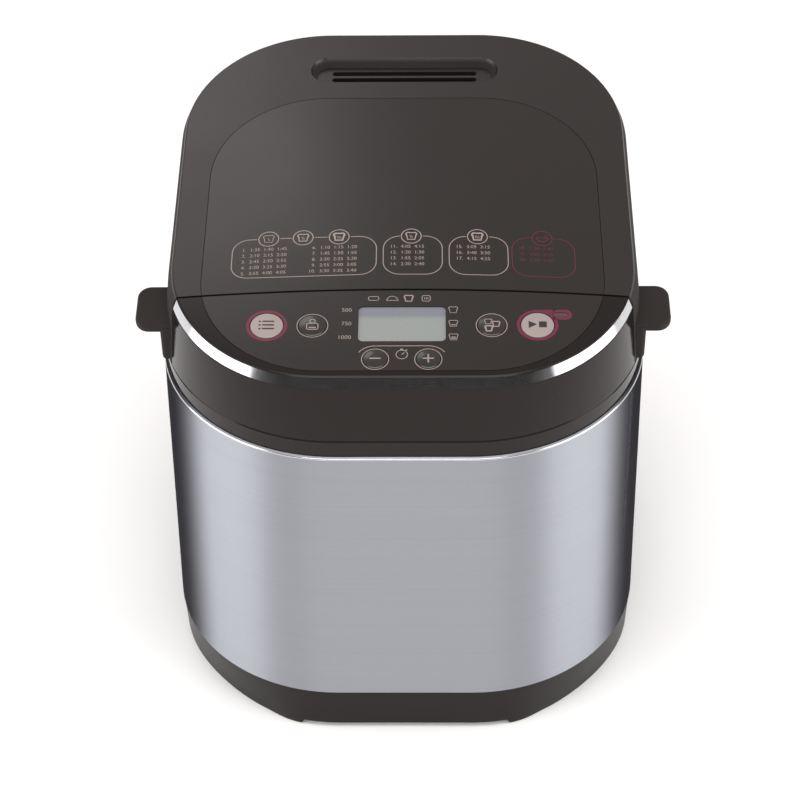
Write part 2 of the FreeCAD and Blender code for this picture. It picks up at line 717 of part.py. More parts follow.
def lid_cutters():
    """Everything that is taken out of the lid's shell."""
    edge = LID_FRONT
    skirt = COLLAR_TOP + LID_GAP
    rear_skirt = skirt + REAR_SKIRT_RISE
    raised = plate_across(
        [(HINGE_Y - 14.0, skirt), (HINGE_Y - 7.0, rear_skirt), (JACKET_DEPTH, rear_skirt),
         (JACKET_DEPTH, JACKET_TOP), (HINGE_Y - 14.0, JACKET_TOP)], -JACKET_WIDTH, JACKET_WIDTH)
    notch_half = HINGE_HALF + LUG_GAP / 2
    notch = box(-notch_half, notch_half, HINGE_Y - 10.0, JACKET_DEPTH, JACKET_TOP, HINGE_Z + 9.5)
    below = box(-JACKET_WIDTH, JACKET_WIDTH, -JACKET_DEPTH, JACKET_DEPTH, JACKET_TOP - 10.0, skirt)
    lug_end = HINGE_HALF + LUG_GAP + LUG_THICK + 1.5
    bore = rod(HINGE_PIN + RUNNING_FIT, -lug_end, lug_end, HINGE_Y, HINGE_Z)
    recess = gloss_block(0.0, -GLOSS_DEPTH, 2.0).common(rear_region(edge - 1.0))
    grille_seat = vent_racetrack(GLOSS_GAP - VENT_TAPER, -VENT_DEPTH - GRILLE_SHEET, -VENT_DEPTH + 0.1)
    passage = vent_racetrack(-VENT_TAPER - 2.0, -VENT_DEPTH - 10.0, -VENT_DEPTH)
    holes = [cylinder(SCREW_SHANK, LINER_RIM, LINER_RIM + LID_SCREW_LENGTH, x, y) for x, y in LID_SCREWS]
    return [raised, notch, below, bore, recess, vent_recess(), grille_seat, passage] + holes


def lid_shell():
    """Deep lid with leaning walls, vent recess, lifting ears, hinge lugs and screw posts."""
    outer = head_solid()
    room = head_room().common(rear_region(LID_FRONT + WALL))
    shell = outer.common(rear_region(LID_FRONT)).cut(room)
    well = vent_racetrack(WELL_WALL, -VENT_DEPTH - 4.0, -ROOF + 1.0)
    posts = [cylinder(LID_POST, LINER_RIM + LINER_SHEET, TOP_MIDDLE + 40, x, y).common(outer)
             for x, y in LID_SCREWS]
    ear = lifting_ear().cut(head_room())
    lug = hinge_lug()
    return joined(shell, well, ear, mirrored(ear), lug, mirrored(lug), *posts).cut(lid_cutters())


def lid_panel():
    """Glossy plate in the lid's recess."""
    return gloss_block(GLOSS_GAP, -GLOSS_DEPTH, 0.0).common(rear_region(LID_FRONT))


def vent_grille():
    """Grille plate at the foot of the vent recess, with two bevelled slits."""
    plate = vent_racetrack(-VENT_TAPER, -VENT_DEPTH - GRILLE_SHEET, -VENT_DEPTH)
    slits = []
    for side in (-1, 1):
        v = VENT_V + side * SLIT_PITCH / 2
        low = outline(SLIT_LENGTH, SLIT_WIDTH, SLIT_WIDTH / 2, -VENT_DEPTH - 3.0, v)
        width = SLIT_WIDTH + 2 * SLIT_BEVEL
        high = outline(SLIT_LENGTH + 2 * SLIT_BEVEL, width, width / 2, -VENT_DEPTH + 0.1, v)
        slits.append(on_top(loft(low, high)))
    return plate.cut(slits)


def liner_form(inset):
    """Dish of the lid's liner: mouth down, roof along the sloping top."""
    mouth = outline(LINER_WIDTH - 2 * inset, LINER_DEPTH - 2 * inset, LINER_RADIUS - inset,
                    LINER_RIM, LINER_Y)
    roof_inset = LINER_DRAFT + inset
    roof_y = LINER_Y / math.cos(SLOPE) - LINER_DROP * math.sin(SLOPE)
    roof = outline(LINER_WIDTH - 2 * roof_inset, (LINER_DEPTH - 2 * roof_inset) / math.cos(SLOPE),
                   LINER_RADIUS - roof_inset, -LINER_DROP - inset, roof_y)
    return loft(mouth, on_top(roof))


def lid_liner():
    """Pressed metal liner of the lid with steam slots and a flange that is screwed to the shell."""
    flange = block(2 * HEAD_WIDTH, LINER_DEPTH + 4.0, 10.0, LINER_RIM, LINER_RIM + LINER_SHEET, LINER_Y)
    flange = flange.common(head_room(1.0)).common(rear_region(LID_FRONT + WALL + 0.5))
    dish = joined(flange, liner_form(0.0)).cut(liner_form(LINER_SHEET))
    slot = block(*STEAM_SLOT, STEAM_SLOT[1] / 2, -LINER_DROP - 3.0, -LINER_DROP + 2.0, VENT_V - 16.0)
    slots = [on_top(slot.translated(Vector(x, 0, 0))) for x in STEAM_SLOT_X]
    holes = [cylinder(SCREW_SHANK, LINER_RIM - 1.0, LINER_RIM + 2.0, x, y) for x, y in LID_SCREWS]
    return dish.cut(slots + holes)


def lid_screws():
    """Screws that hold the liner to the lid."""
    return Part.makeCompound([screw(x, y, LINER_RIM, LINER_RIM + LID_SCREW_LENGTH) for x, y in LID_SCREWS])


def hinge_block():
    """Block on the collar that carries the hinge pins."""
    low = box(-HINGE_HALF, HINGE_HALF, HINGE_Y - HINGE_RADIUS, HINGE_Y + HINGE_RADIUS, COLLAR_TOP, HINGE_Z)
    barrel = rod(HINGE_RADIUS, -HINGE_HALF, HINGE_HALF, HINGE_Y, HINGE_Z)
    return joined(low, barrel).cut(hinge_pins())


def hinge_pins():
    """Two steel pins, pressed into the block."""
    pin = rod(HINGE_PIN, HINGE_HALF - 16.0, HINGE_HALF + LUG_GAP + LUG_THICK + 1.0, HINGE_Y, HINGE_Z)
    return Part.makeCompound([pin, mirrored(pin)])


# Chassis, baking chamber and heating


def chassis_plate():
    """Pressed plate with side flanges, open over the belt, on the posts of the base."""
    edge = CHASSIS_SIZE[0] / 2
    plate = block(*CHASSIS_SIZE, CHASSIS_CORNER, CHASSIS_BOTTOM, CHASSIS_TOP, CHASSIS_Y)
    flange = box(edge - CHASSIS_SHEET, edge, *CHASSIS_FLANGE_Y, CHASSIS_TOP, CHASSIS_TOP + CHASSIS_FLANGE)
    window = block(*BELT_WINDOW, 8.0, CHASSIS_BOTTOM, CHASSIS_TOP, BELT_WINDOW_Y)
    cutters = [window, cylinder(BEARING_RADIUS, CHASSIS_BOTTOM, CHASSIS_TOP, 0, CHAMBER_Y)]
    cutters.append(cylinder(MOTOR_HOLE, CHASSIS_BOTTOM, CHASSIS_TOP, 0, motor_y()))
    cutters += [cylinder(SCREW_SHANK, CHASSIS_BOTTOM, CHASSIS_TOP, x, y) for x, y in BASE_POSTS + STANDOFFS]
    cutters += motor_screw_holes()
    return joined(plate, flange, mirrored(flange)).cut(cutters)


def chamber_standoffs():
    """Spacers between the chassis and the chamber's floor."""
    high = CHAMBER_FLOOR - CHAMBER_SHEET
    return Part.makeCompound([tube(STANDOFF_RADIUS, SCREW_SHANK, CHASSIS_TOP, high, x, y)
                              for x, y in STANDOFFS])


def chamber_screw_places():
    """Places of the screws in the chamber's flange."""
    x = CHAMBER_WIDTH / 2 + CHAMBER_SHEET + CHAMBER_FLANGE / 2 + 0.4
    return [(side * x, CHAMBER_Y + end * CHAMBER_SCREW_Y) for side in (-1, 1) for end in (-1, 1)]


def chamber_screw_holes():
    """Holes for the flange's screws, through flange and deck."""
    return [cylinder(SCREW_SHANK, JACKET_TOP, COLLAR_TOP + 2.0, x, y) for x, y in chamber_screw_places()]


def element_holes():
    """Bores for the element's bushes in the chamber's front wall."""
    wall = CHAMBER_Y - CHAMBER_DEPTH / 2
    start = wall - BUSH_LENGTH - CHAMBER_SHEET
    places = [Vector(side * ELEMENT_LEG_X, start, ELEMENT_Z) for side in (-1, 1)]
    return [Part.makeCylinder(BUSH_RADIUS, 12.0, place, Vector(0, 1, 0)) for place in places]


def baking_chamber():
    """Sheet-metal chamber with a flange on the collar, open at the drive, the element and the probe."""
    top = COLLAR_TOP + CHAMBER_SHEET
    grow = 2 * CHAMBER_SHEET
    outer = block(CHAMBER_WIDTH + grow, CHAMBER_DEPTH + grow, CHAMBER_RADIUS + CHAMBER_SHEET,
                  CHAMBER_FLOOR - CHAMBER_SHEET, top, CHAMBER_Y)
    grow += 2 * CHAMBER_FLANGE
    flange = block(CHAMBER_WIDTH + grow, CHAMBER_DEPTH + grow, CHAMBER_RADIUS + grow / 2,
                   COLLAR_TOP, top, CHAMBER_Y)
    hollow = block(CHAMBER_WIDTH, CHAMBER_DEPTH, CHAMBER_RADIUS, CHAMBER_FLOOR, top, CHAMBER_Y)
    drive_hole = cylinder(CHAMBER_HOLE, CHAMBER_FLOOR - 2.0, CHAMBER_FLOOR, 0, CHAMBER_Y)
    stud_holes = [cylinder(SCREW_SHANK, CHAMBER_FLOOR - 2.0, CHAMBER_FLOOR, x, y) for x, y in STANDOFFS]
    cutters = [hollow, drive_hole, probe_bore()] + stud_holes + element_holes() + chamber_screw_holes()
    return joined(outer, flange).cut(cutters)


def chamber_screws():
    """Screws in the chamber's flange."""
    return Part.makeCompound([screw(x, y, COLLAR_TOP + CHAMBER_SHEET, JACKET_TOP + 3.0)
                              for x, y in chamber_screw_places()])


def floor_screws():
    """Screws from the chamber's floor through the standoffs into the chassis."""
    return Part.makeCompound([screw(x, y, CHAMBER_FLOOR, CHASSIS_BOTTOM) for x, y in STANDOFFS])


def heating_element():
    """Bent tube round the foot of the chamber, with both legs out through the front wall."""
    right = CHAMBER_WIDTH / 2 - ELEMENT_INSET
    front = CHAMBER_Y - CHAMBER_DEPTH / 2 + ELEMENT_INSET
    rear = CHAMBER_Y + CHAMBER_DEPTH / 2 - ELEMENT_INSET
    corners = [
        (ELEMENT_LEG_X, front - LEG_REACH, 0.0), (ELEMENT_LEG_X, front, ELEMENT_BEND),
        (right, front, ELEMENT_CORNER), (right, rear, ELEMENT_CORNER),
        (-right, rear, ELEMENT_CORNER), (-right, front, ELEMENT_CORNER),
        (-ELEMENT_LEG_X, front, ELEMENT_BEND), (-ELEMENT_LEG_X, front - LEG_REACH, 0.0)]
    return bent_rod(corners, ELEMENT_Z, ELEMENT_RADIUS)


def bent_rod(corners, z, radius):
    """Round rod along level straight runs; each corner is (x, y, bend radius)."""
    points = [Vector(x, y, z) for x, y, _ in corners]
    edges = []
    last = points[0]
    for before, corner, after, (_, _, bend) in zip(points, points[1:], points[2:], corners[1:]):
        inward = (before - corner).normalize()
        outward = (after - corner).normalize()
        half = inward.getAngle(outward) / 2
        start = corner + inward * (bend / math.tan(half))
        end = corner + outward * (bend / math.tan(half))
        middle = (inward + outward).normalize()
        crown = corner + middle * (bend / math.sin(half) - bend)
        edges.append(Part.makeLine(last, start))
        edges.append(Part.Arc(start, crown, end).toShape())
        last = end
    edges.append(Part.makeLine(last, points[-1]))
    path = Part.Wire(edges)
    section = Part.Wire(Part.makeCircle(radius, points[0], points[1] - points[0]))
    return path.makePipeShell([section], True, False)


def element_bushes():
    """Ceramic bushes that carry the element's legs through the wall."""
    wall = CHAMBER_Y - CHAMBER_DEPTH / 2
    bushes = []
    for side in (-1, 1):
        start = Vector(side * ELEMENT_LEG_X, wall - BUSH_LENGTH, ELEMENT_Z)
        bush = Part.makeCylinder(BUSH_RADIUS, BUSH_LENGTH, start, Vector(0, 1, 0))
        collar = Part.makeCylinder(BUSH_COLLAR, 3.0, start - Vector(0, 1.0, 0), Vector(0, 1, 0))
        bore = Part.makeCylinder(ELEMENT_RADIUS, 12.0, start - Vector(0, 2.0, 0), Vector(0, 1, 0))
        bushes.append(joined(bush, collar).cut(bore))
    return Part.makeCompound(bushes)


def element_clips():
    """Clips that hold the element off the side walls."""
    wall = CHAMBER_WIDTH / 2
    tube_x = wall - ELEMENT_INSET
    reach = ELEMENT_RADIUS + CLIP_WALL
    front = CHAMBER_Y - CLIP_HALF
    rear = CHAMBER_Y + CLIP_HALF
    clip = box(tube_x - reach, wall, front, rear, ELEMENT_Z - reach, ELEMENT_Z + reach)
    start = Vector(tube_x, front - CLIP_HALF, ELEMENT_Z)
    bore = Part.makeCylinder(ELEMENT_RADIUS, 4 * CLIP_HALF, start, Vector(0, 1, 0))
    slot = box(tube_x + reach, wall - CLIP_WALL, front, rear,
               ELEMENT_Z - ELEMENT_RADIUS, ELEMENT_Z + ELEMENT_RADIUS)
    clip = clip.cut([bore, slot])
    return Part.makeCompound([clip, mirrored(clip)])


def probe_bore():
    """Bore in the chamber's front wall for the temperature probe."""
    wall = CHAMBER_Y - CHAMBER_DEPTH / 2
    return Part.makeCylinder(PROBE_RADIUS, 4.0, Vector(PROBE_X, wall - 2.0, PROBE_Z), Vector(0, 1, 0))


def temperature_probe():
    """Closed probe through the front wall, with a flange outside."""
    wall = CHAMBER_Y - CHAMBER_DEPTH / 2
    start = Vector(PROBE_X, wall - CHAMBER_SHEET - 10.0, PROBE_Z)
    stem = Part.makeCylinder(PROBE_RADIUS, PROBE_LENGTH, start, Vector(0, 1, 0))
    seat = Vector(PROBE_X, wall - CHAMBER_SHEET - PROBE_FLANGE_THICK, PROBE_Z)
    flange = Part.makeCylinder(PROBE_FLANGE, PROBE_FLANGE_THICK, seat, Vector(0, 1, 0))
    tip = Part.makeSphere(PROBE_RADIUS, start + Vector(0, PROBE_LENGTH, 0))
    return joined(stem, flange, tip)


def pan_clips():
    """Leaf springs on the chamber's floor, either side of the pan's foot."""
    near = PAN_FOOT_RADIUS + 0.6
    low = CHAMBER_FLOOR
    foot = near + SPRING_FOOT
    bend = low + SPRING_HEIGHT
    profile = [
        (near, low), (foot, low), (foot, low + SPRING_SHEET), (near + SPRING_SHEET, low + SPRING_SHEET),
        (near + SPRING_SHEET, bend), (near + 3.6, bend + 4.0), (near + 2.8, bend + 4.4), (near, bend + 0.4)]
    points = [Vector(x, CHAMBER_Y - SPRING_HALF, z) for x, z in profile]
    clip = Part.Face(Part.makePolygon(points + points[:1])).extrude(Vector(0, 2 * SPRING_HALF, 0))
    return Part.makeCompound([clip, mirrored(clip)])


# Bread pan and its fittings


def pan_form(inset, bottom, top):
    """Tapered pan body between two heights, drawn in by an inset."""
    def level(z):
        """Outline of the pan at a height."""
        grow = 2 * PAN_DRAFT * (z - PAN_BOTTOM) / (PAN_TOP - PAN_BOTTOM) - 2 * inset
        return outline(PAN_WIDTH + grow, PAN_DEPTH + grow, PAN_RADIUS - inset, z, CHAMBER_Y)
    return loft(level(bottom), level(top))


def kneading_rib():
    """Upright half-round rib on the pan's right-hand wall that turns the dough."""
    low = Vector(PAN_WIDTH / 2 - PAN_SHEET + 0.6, CHAMBER_Y + PAN_RIB_Y, PAN_BOTTOM)
    lean = Vector(PAN_DRAFT, 0, PAN_TOP - PAN_BOTTOM)
    rib = Part.makeCylinder(PAN_RIB, 0.8 * lean.Length, low, lean)
    return rib.common(pan_form(0.5, PAN_BOTTOM, PAN_TOP))


def bail_boss():
    """Right-hand boss for the bail, on the pan's wall."""
    boss = rod(BAIL_BOSS, PAN_WIDTH / 2, BAIL_X - BAIL_BEND, CHAMBER_Y, BAIL_Z)
    return boss.cut(rod(BAIL_WIRE + RUNNING_FIT, bail_end(), BAIL_X, CHAMBER_Y, BAIL_Z))


def bail_end():
    """X of the floor of the bail's blind hole."""
    return PAN_WIDTH / 2 + PAN_DRAFT


def bread_pan():
    """Tapered pan with a rolled rim, a hub for the shaft, ribs and bail bosses."""
    rim_grow = 2 * (PAN_DRAFT + PAN_RIM)
    rim = block(PAN_WIDTH + rim_grow, PAN_DEPTH + rim_grow, PAN_RADIUS + PAN_RIM,
                PAN_TOP - PAN_RIM_HEIGHT, PAN_TOP, CHAMBER_Y)
    rim = rim.makeFillet(1.0, [edge for edge in rim.Edges if edge.BoundBox.ZLength < 1e-6])
    hub = cylinder(PAN_HUB, PAN_BOTTOM - PAN_BUSH_HALF, PAN_BOTTOM + PAN_HUB_HEIGHT, 0, CHAMBER_Y)
    boss = bail_boss()
    body = joined(pan_form(0.0, PAN_BOTTOM, PAN_TOP), rim, boss, mirrored(boss))
    hollow = pan_form(PAN_SHEET, PAN_BOTTOM + PAN_SHEET, PAN_TOP + 1.0)
    rib = kneading_rib()
    body = joined(body.cut(hollow), hub, rib, mirrored(rib))
    seat = PAN_BOTTOM + PAN_BUSH_HALF
    bush_bore = cylinder(PAN_BUSH, PAN_BOTTOM - PAN_BUSH_HALF - 1.0, seat, 0, CHAMBER_Y)
    seal_bore = cylinder(PAN_SEAL, seat, PAN_BOTTOM + PAN_HUB_HEIGHT + 1.0, 0, CHAMBER_Y)
    return body.cut([bush_bore, seal_bore])


def pan_foot():
    """Ring under the pan that stands on the chamber's floor between the clips."""
    low = CHAMBER_FLOOR + PAN_FOOT_GAP
    ring = tube(PAN_FOOT_RADIUS, PAN_FOOT_RADIUS - PAN_FOOT_SHEET, low, PAN_BOTTOM, 0, CHAMBER_Y)
    flange = tube(PAN_FOOT_RADIUS, PAN_FOOT_INNER, PAN_BOTTOM - PAN_FOOT_SHEET, PAN_BOTTOM, 0, CHAMBER_Y)
    return joined(ring, flange)


def pan_bush():
    """Bronze bush in the pan's hub."""
    low = PAN_BOTTOM - PAN_BUSH_HALF
    return tube(PAN_BUSH, SHAFT_RADIUS + RUNNING_FIT, low, PAN_BOTTOM + PAN_BUSH_HALF, 0, CHAMBER_Y)


def pan_seal():
    """Lip seal over the bush."""
    low = PAN_BOTTOM + PAN_BUSH_HALF
    return tube(PAN_SEAL, SHAFT_RADIUS + RUNNING_FIT, low, PAN_BOTTOM + PAN_HUB_HEIGHT, 0, CHAMBER_Y)


def pan_handle():
    """Wire bail that lies round the rear half of the rim."""
    end = bail_end() + 0.3
    rear = CHAMBER_Y + BAIL_REACH
    corners = [
        (end, CHAMBER_Y, 0.0), (BAIL_X, CHAMBER_Y, BAIL_BEND - 0.2), (BAIL_X, rear, BAIL_CORNER),
        (-BAIL_X, rear, BAIL_CORNER), (-BAIL_X, CHAMBER_Y, BAIL_BEND - 0.2), (-end, CHAMBER_Y, 0.0)]
    return bent_rod(corners, BAIL_Z, BAIL_WIRE)


def shaft_flat(bottom, top, clear):
    """Cutter for the flat on the pan's shaft and in the paddle's bore."""
    return box(-10.0, 10.0, CHAMBER_Y + SHAFT_RADIUS - SHAFT_FLAT + clear, CHAMBER_Y + 20.0, bottom, top)


def pan_shaft():
    """Shaft through the pan's hub, with a flat for the paddle."""
    shaft = cylinder(SHAFT_RADIUS, wing_low(), PAN_BOTTOM + SHAFT_TOP, 0, CHAMBER_Y)
    return shaft.cut(shaft_flat(paddle_low() - PADDLE_GAP / 2, PAN_TOP, 0.0))


def wing_low():
    """Underside of the wing coupling."""
    return CHAMBER_FLOOR + WING_LIFT


def pan_wing():
    """Two-bladed coupling at the foot of the pan's shaft."""
    top = wing_low() + WING_THICK
    bar = block(WING_LENGTH, WING_WIDTH, WING_WIDTH / 2, wing_low(), top, CHAMBER_Y)
    hub = cylinder(COUPLING_HUB, wing_low(), top, 0, CHAMBER_Y)
    return joined(bar, hub).cut(cylinder(SHAFT_RADIUS, 0, PAN_BOTTOM, 0, CHAMBER_Y))


def pan_washer():
    """Thrust washer between the wing coupling and the bush."""
    high = PAN_BOTTOM - PAN_BUSH_HALF - 0.2
    return tube(WASHER_RADIUS, SHAFT_RADIUS, wing_low() + WING_THICK, high, 0, CHAMBER_Y)


def paddle_low():
    """Underside of the paddle's hub, just over the pan's hub."""
    return PAN_BOTTOM + PAN_HUB_HEIGHT + PADDLE_GAP


def kneading_paddle():
    """Paddle: a tapered hub with one blade that reaches down beside the pan's hub."""
    low = paddle_low()
    top = low + PADDLE_HEIGHT
    crown = top + 1.4
    hub = turned([(0.0, low), (PADDLE_HUB, low), (7.0, top), (5.8, crown), (0.0, crown)], 0, CHAMBER_Y)
    floor = PAN_BOTTOM + PAN_SHEET + 2.0
    step = PAN_HUB + 1.5
    start = Vector(step, 0, floor)
    tip = Vector(PADDLE_REACH, 0, floor)
    tip_high = Vector(PADDLE_REACH - 3.0, 0, floor + 13.0)
    shoulder = Vector(22.0, 0, floor + 23.0)
    crest = Vector(4.0, 0, floor + 28.0)
    root = Vector(4.0, 0, low)
    over_hub = Vector(step, 0, low)
    edges = [
        Part.makeLine(start, tip), Part.makeLine(tip, tip_high),
        Part.Arc(tip_high, shoulder, crest).toShape(), Part.makeLine(crest, root),
        Part.makeLine(root, over_hub), Part.makeLine(over_hub, start)]
    blade = Part.Face(Part.Wire(edges)).extrude(Vector(0, PADDLE_THICK, 0))
    blade = blade.translated(Vector(0, CHAMBER_Y - PADDLE_THICK / 2, 0))
    rim = [edge for edge in blade.Edges if edge.BoundBox.YLength < 1e-6 and edge.BoundBox.XMax > step + 1.0]
    blade = blade.makeFillet(1.6, rim)
    bore = cylinder(SHAFT_RADIUS + RUNNING_FIT, 0, PAN_BOTTOM + SHAFT_TOP + 0.5, 0, CHAMBER_Y)
    bore = bore.cut(shaft_flat(0, PAN_TOP, RUNNING_FIT))
    return joined(hub, blade).cut(bore)


# Drive under the chamber


def pitch_radius(teeth):
    """Pitch radius of a toothed pulley."""
    return teeth * BELT_PITCH / (2 * math.pi)


def belt_length(span):
    """Length of the belt's pitch line for a distance between the two axes."""
    large = pitch_radius(PULLEY_TEETH)
    small = pitch_radius(PINION_TEETH)
    lean = math.asin((large - small) / span)
    return large * (math.pi + 2 * lean) + small * (math.pi - 2 * lean) + 2 * span * math.cos(lean)


def belt_span():
    """Distance between the axes at which the belt has a whole number of teeth."""
    short, long = 80.0, 200.0
    for _ in range(60):
        middle = (short + long) / 2
        if belt_length(middle) < BELT_TEETH * BELT_PITCH:
            short = middle
        else:
            long = middle
    return short


def motor_y():
    """Y of the motor's axis, in front of the chamber."""
    return CHAMBER_Y - belt_span()


def belt_lean():
    """Angle between the belt's straight runs and the line of axes."""
    return math.asin((pitch_radius(PULLEY_TEETH) - pitch_radius(PINION_TEETH)) / belt_span())


def belt_point(distance, inward):
    """Point on the belt at a distance along its pitch line, moved inwards."""
    large, small, lean = pitch_radius(PULLEY_TEETH), pitch_radius(PINION_TEETH), belt_lean()
    run = belt_span() * math.cos(lean)
    large_arc = large * (math.pi + 2 * lean)
    small_arc = small * (math.pi - 2 * lean)
    distance %= BELT_TEETH * BELT_PITCH
    if distance < large_arc:
        angle = distance / large - lean
        return Vector(0, CHAMBER_Y, 0) + polar(large - inward, math.degrees(angle))
    distance -= large_arc
    if distance < run:
        start = Vector(0, CHAMBER_Y, 0) + polar(large - inward, 180 + math.degrees(lean))
        return start + polar(distance, 270 + math.degrees(lean))
    distance -= run
    if distance < small_arc:
        angle = math.pi + lean + distance / small
        return Vector(0, motor_y(), 0) + polar(small - inward, math.degrees(angle))
    distance -= small_arc
    start = Vector(0, motor_y(), 0) + polar(small - inward, -math.degrees(lean))
    return start + polar(distance, 90 - math.degrees(lean))


def belt_back():
    """Smooth outside of the belt."""
    lean = math.degrees(belt_lean())
    large = pitch_radius(PULLEY_TEETH) + BELT_BACK
    small = pitch_radius(PINION_TEETH) + BELT_BACK
    driven = [Vector(0, CHAMBER_Y, 0) + polar(large, angle) for angle in (-lean, 90, 180 + lean)]
    motor = [Vector(0, motor_y(), 0) + polar(small, angle) for angle in (180 + lean, 270, 360 - lean)]
    return Part.Wire([
        Part.Arc(*driven).toShape(), Part.makeLine(driven[2], motor[0]),
        Part.Arc(*motor).toShape(), Part.makeLine(motor[2], driven[0])])


def drive_belt():
    """Toothed belt from the motor to the driven pulley."""
    points = []
    for tooth in range(BELT_TEETH):
        middle = tooth * BELT_PITCH
        for offset, inward in ((-1.2, BELT_LAND), (-0.8, BELT_LAND + BELT_TOOTH),
                               (0.8, BELT_LAND + BELT_TOOTH), (1.2, BELT_LAND)):
            points.append(belt_point(middle + offset, inward))
    inside = Part.Face(Part.makePolygon(points + points[:1]))
    band = Part.Face(belt_back()).cut(inside)
    return band.extrude(Vector(0, 0, BELT_WIDTH)).translated(Vector(0, 0, BELT_BOTTOM)).Solids[0]


def toothed_wheel(teeth, phase, bottom, top, y):
    """Toothed pulley whose gaps take the belt's teeth; phase is the angle of one gap."""
    pitch = pitch_radius(teeth)
    crest = pitch - BELT_LAND - PULLEY_GAP
    root = crest - BELT_TOOTH - 0.1
    points = []
    for tooth in range(teeth):
        middle = phase + 360.0 * tooth / teeth
        for offset, radius in ((-1.7, crest), (-1.25, root), (1.25, root), (1.7, crest)):
            points.append(polar(radius, middle + math.degrees(offset / pitch)) + Vector(0, y, bottom))
    return Part.Face(Part.makePolygon(points + points[:1])).extrude(Vector(0, 0, top - bottom))


def driven_pulley():
    """Large pulley with lightening holes, held on the drive shaft by a nut."""
    wheel = toothed_wheel(PULLEY_TEETH, -math.degrees(belt_lean()), BELT_BOTTOM - PULLEY_SIDE,
                          BELT_BOTTOM + BELT_WIDTH + PULLEY_SIDE, CHAMBER_Y)
    hub = cylinder(PULLEY_HUB, BELT_BOTTOM - 2.0, BELT_BOTTOM + BELT_WIDTH + 3.0, 0, CHAMBER_Y)
    cutters = [cylinder(SHAFT_RADIUS, 0, CHASSIS_BOTTOM, 0, CHAMBER_Y)]
    for step in range(6):
        place = polar(PULLEY_HOLE_CIRCLE, 60 * step)
        cutters.append(cylinder(PULLEY_HOLE, 0, CHASSIS_BOTTOM, place.x, CHAMBER_Y + place.y))
    return joined(wheel, hub).cut(cutters)


def drive_shaft():
    """Upright shaft from the driven pulley to the dog coupling."""
    return cylinder(SHAFT_RADIUS, BELT_BOTTOM - 10.0, CHAMBER_FLOOR + 1.0, 0, CHAMBER_Y)


def pulley_nut():
    """Hexagon nut under the driven pulley."""
    low = BELT_BOTTOM - 7.0
    points = [polar(NUT_RADIUS, 60 * corner) + Vector(0, CHAMBER_Y, low) for corner in range(6)]
    nut = Part.Face(Part.makePolygon(points + points[:1])).extrude(Vector(0, 0, NUT_HEIGHT))
    return nut.cut(cylinder(SHAFT_RADIUS, low, low + NUT_HEIGHT, 0, CHAMBER_Y))


def drive_dog():
    """Coupling disc with two posts that turn the pan's wing."""
    disc_low = CHAMBER_FLOOR - DOG_HALF
    disc_top = CHAMBER_FLOOR + DOG_HALF
    hub = cylinder(COUPLING_HUB, CHAMBER_FLOOR - 6.0, disc_top, 0, CHAMBER_Y)
    disc = cylinder(DOG_DISC, disc_low, disc_top, 0, CHAMBER_Y)
    posts = []
    for side in (-1, 1):
        y = CHAMBER_Y + side * DOG_REACH
        posts.append(box(-DOG_POST, DOG_POST, y - DOG_POST, y + DOG_POST, disc_low, disc_top + DOG_HEIGHT))
    return joined(hub, disc, *posts).cut(cylinder(SHAFT_RADIUS, 0, CHAMBER_FLOOR + 1.0, 0, CHAMBER_Y))


def drive_bearing():
    """Flanged bearing housing on the chassis."""
    barrel = cylinder(BEARING_RADIUS, BELT_BOTTOM + BELT_WIDTH + 4.0, CHAMBER_FLOOR - 6.5, 0, CHAMBER_Y)
    flange = cylinder(BEARING_FLANGE, CHASSIS_TOP, CHASSIS_TOP + 3.0, 0, CHAMBER_Y)
    return joined(barrel, flange).cut(cylinder(SHAFT_RADIUS + RUNNING_FIT, 0, CHAMBER_FLOOR, 0, CHAMBER_Y))


def motor_screw_places():
    """Places of the motor's screws, on its bracket."""
    return [(side * MOTOR_SCREW_X, motor_y()) for side in (-1, 1)]


def motor_screw_holes():
    """Holes for the motor's screws."""
    return [cylinder(SCREW_SHANK, CHASSIS_BOTTOM - 2.0, MOTOR_BOTTOM + MOTOR_EAR + 0.5, x, y)
            for x, y in motor_screw_places()]


def motor_bracket():
    """Plate between motor and chassis, open round the motor's boss."""
    plate = block(*BRACKET_SIZE, 8.0, CHASSIS_TOP, MOTOR_BOTTOM, motor_y())
    return plate.cut([cylinder(MOTOR_HOLE, CHASSIS_TOP, MOTOR_BOTTOM, 0, motor_y())] + motor_screw_holes())


def drive_motor():
    """Motor: drum, end bells and mounting ears, with a bore for its shaft."""
    lower = MOTOR_BOTTOM + MOTOR_BOSS_HEIGHT
    upper = MOTOR_TOP - MOTOR_BOSS_HEIGHT
    drum = turned([
        (0.0, MOTOR_BOTTOM), (MOTOR_BOSS, MOTOR_BOTTOM), (MOTOR_BOSS, lower), (MOTOR_BELL, lower),
        (MOTOR_RADIUS, MOTOR_BOTTOM + MOTOR_BELL_HEIGHT), (MOTOR_RADIUS, MOTOR_TOP - MOTOR_BELL_HEIGHT),
        (MOTOR_BELL, upper), (MOTOR_BOSS, upper), (MOTOR_BOSS, MOTOR_TOP), (0.0, MOTOR_TOP)], 0, motor_y())
    ears = block(*MOTOR_EARS, MOTOR_EARS[1] / 2, MOTOR_BOTTOM, MOTOR_BOTTOM + MOTOR_EAR, motor_y())
    bore = cylinder(MOTOR_SHAFT + RUNNING_FIT, 0, COLLAR_TOP, 0, motor_y())
    return joined(drum, ears).cut([bore] + motor_screw_holes())


def motor_screws():
    """Screws through motor, bracket and chassis."""
    return Part.makeCompound([screw(x, y, MOTOR_BOTTOM + MOTOR_EAR, CHASSIS_BOTTOM - 2.0)
                              for x, y in motor_screw_places()])


def motor_shaft():
    """Motor's rotor shaft."""
    return cylinder(MOTOR_SHAFT, BELT_BOTTOM - 3.0, MOTOR_TOP + 12.0, 0, motor_y())


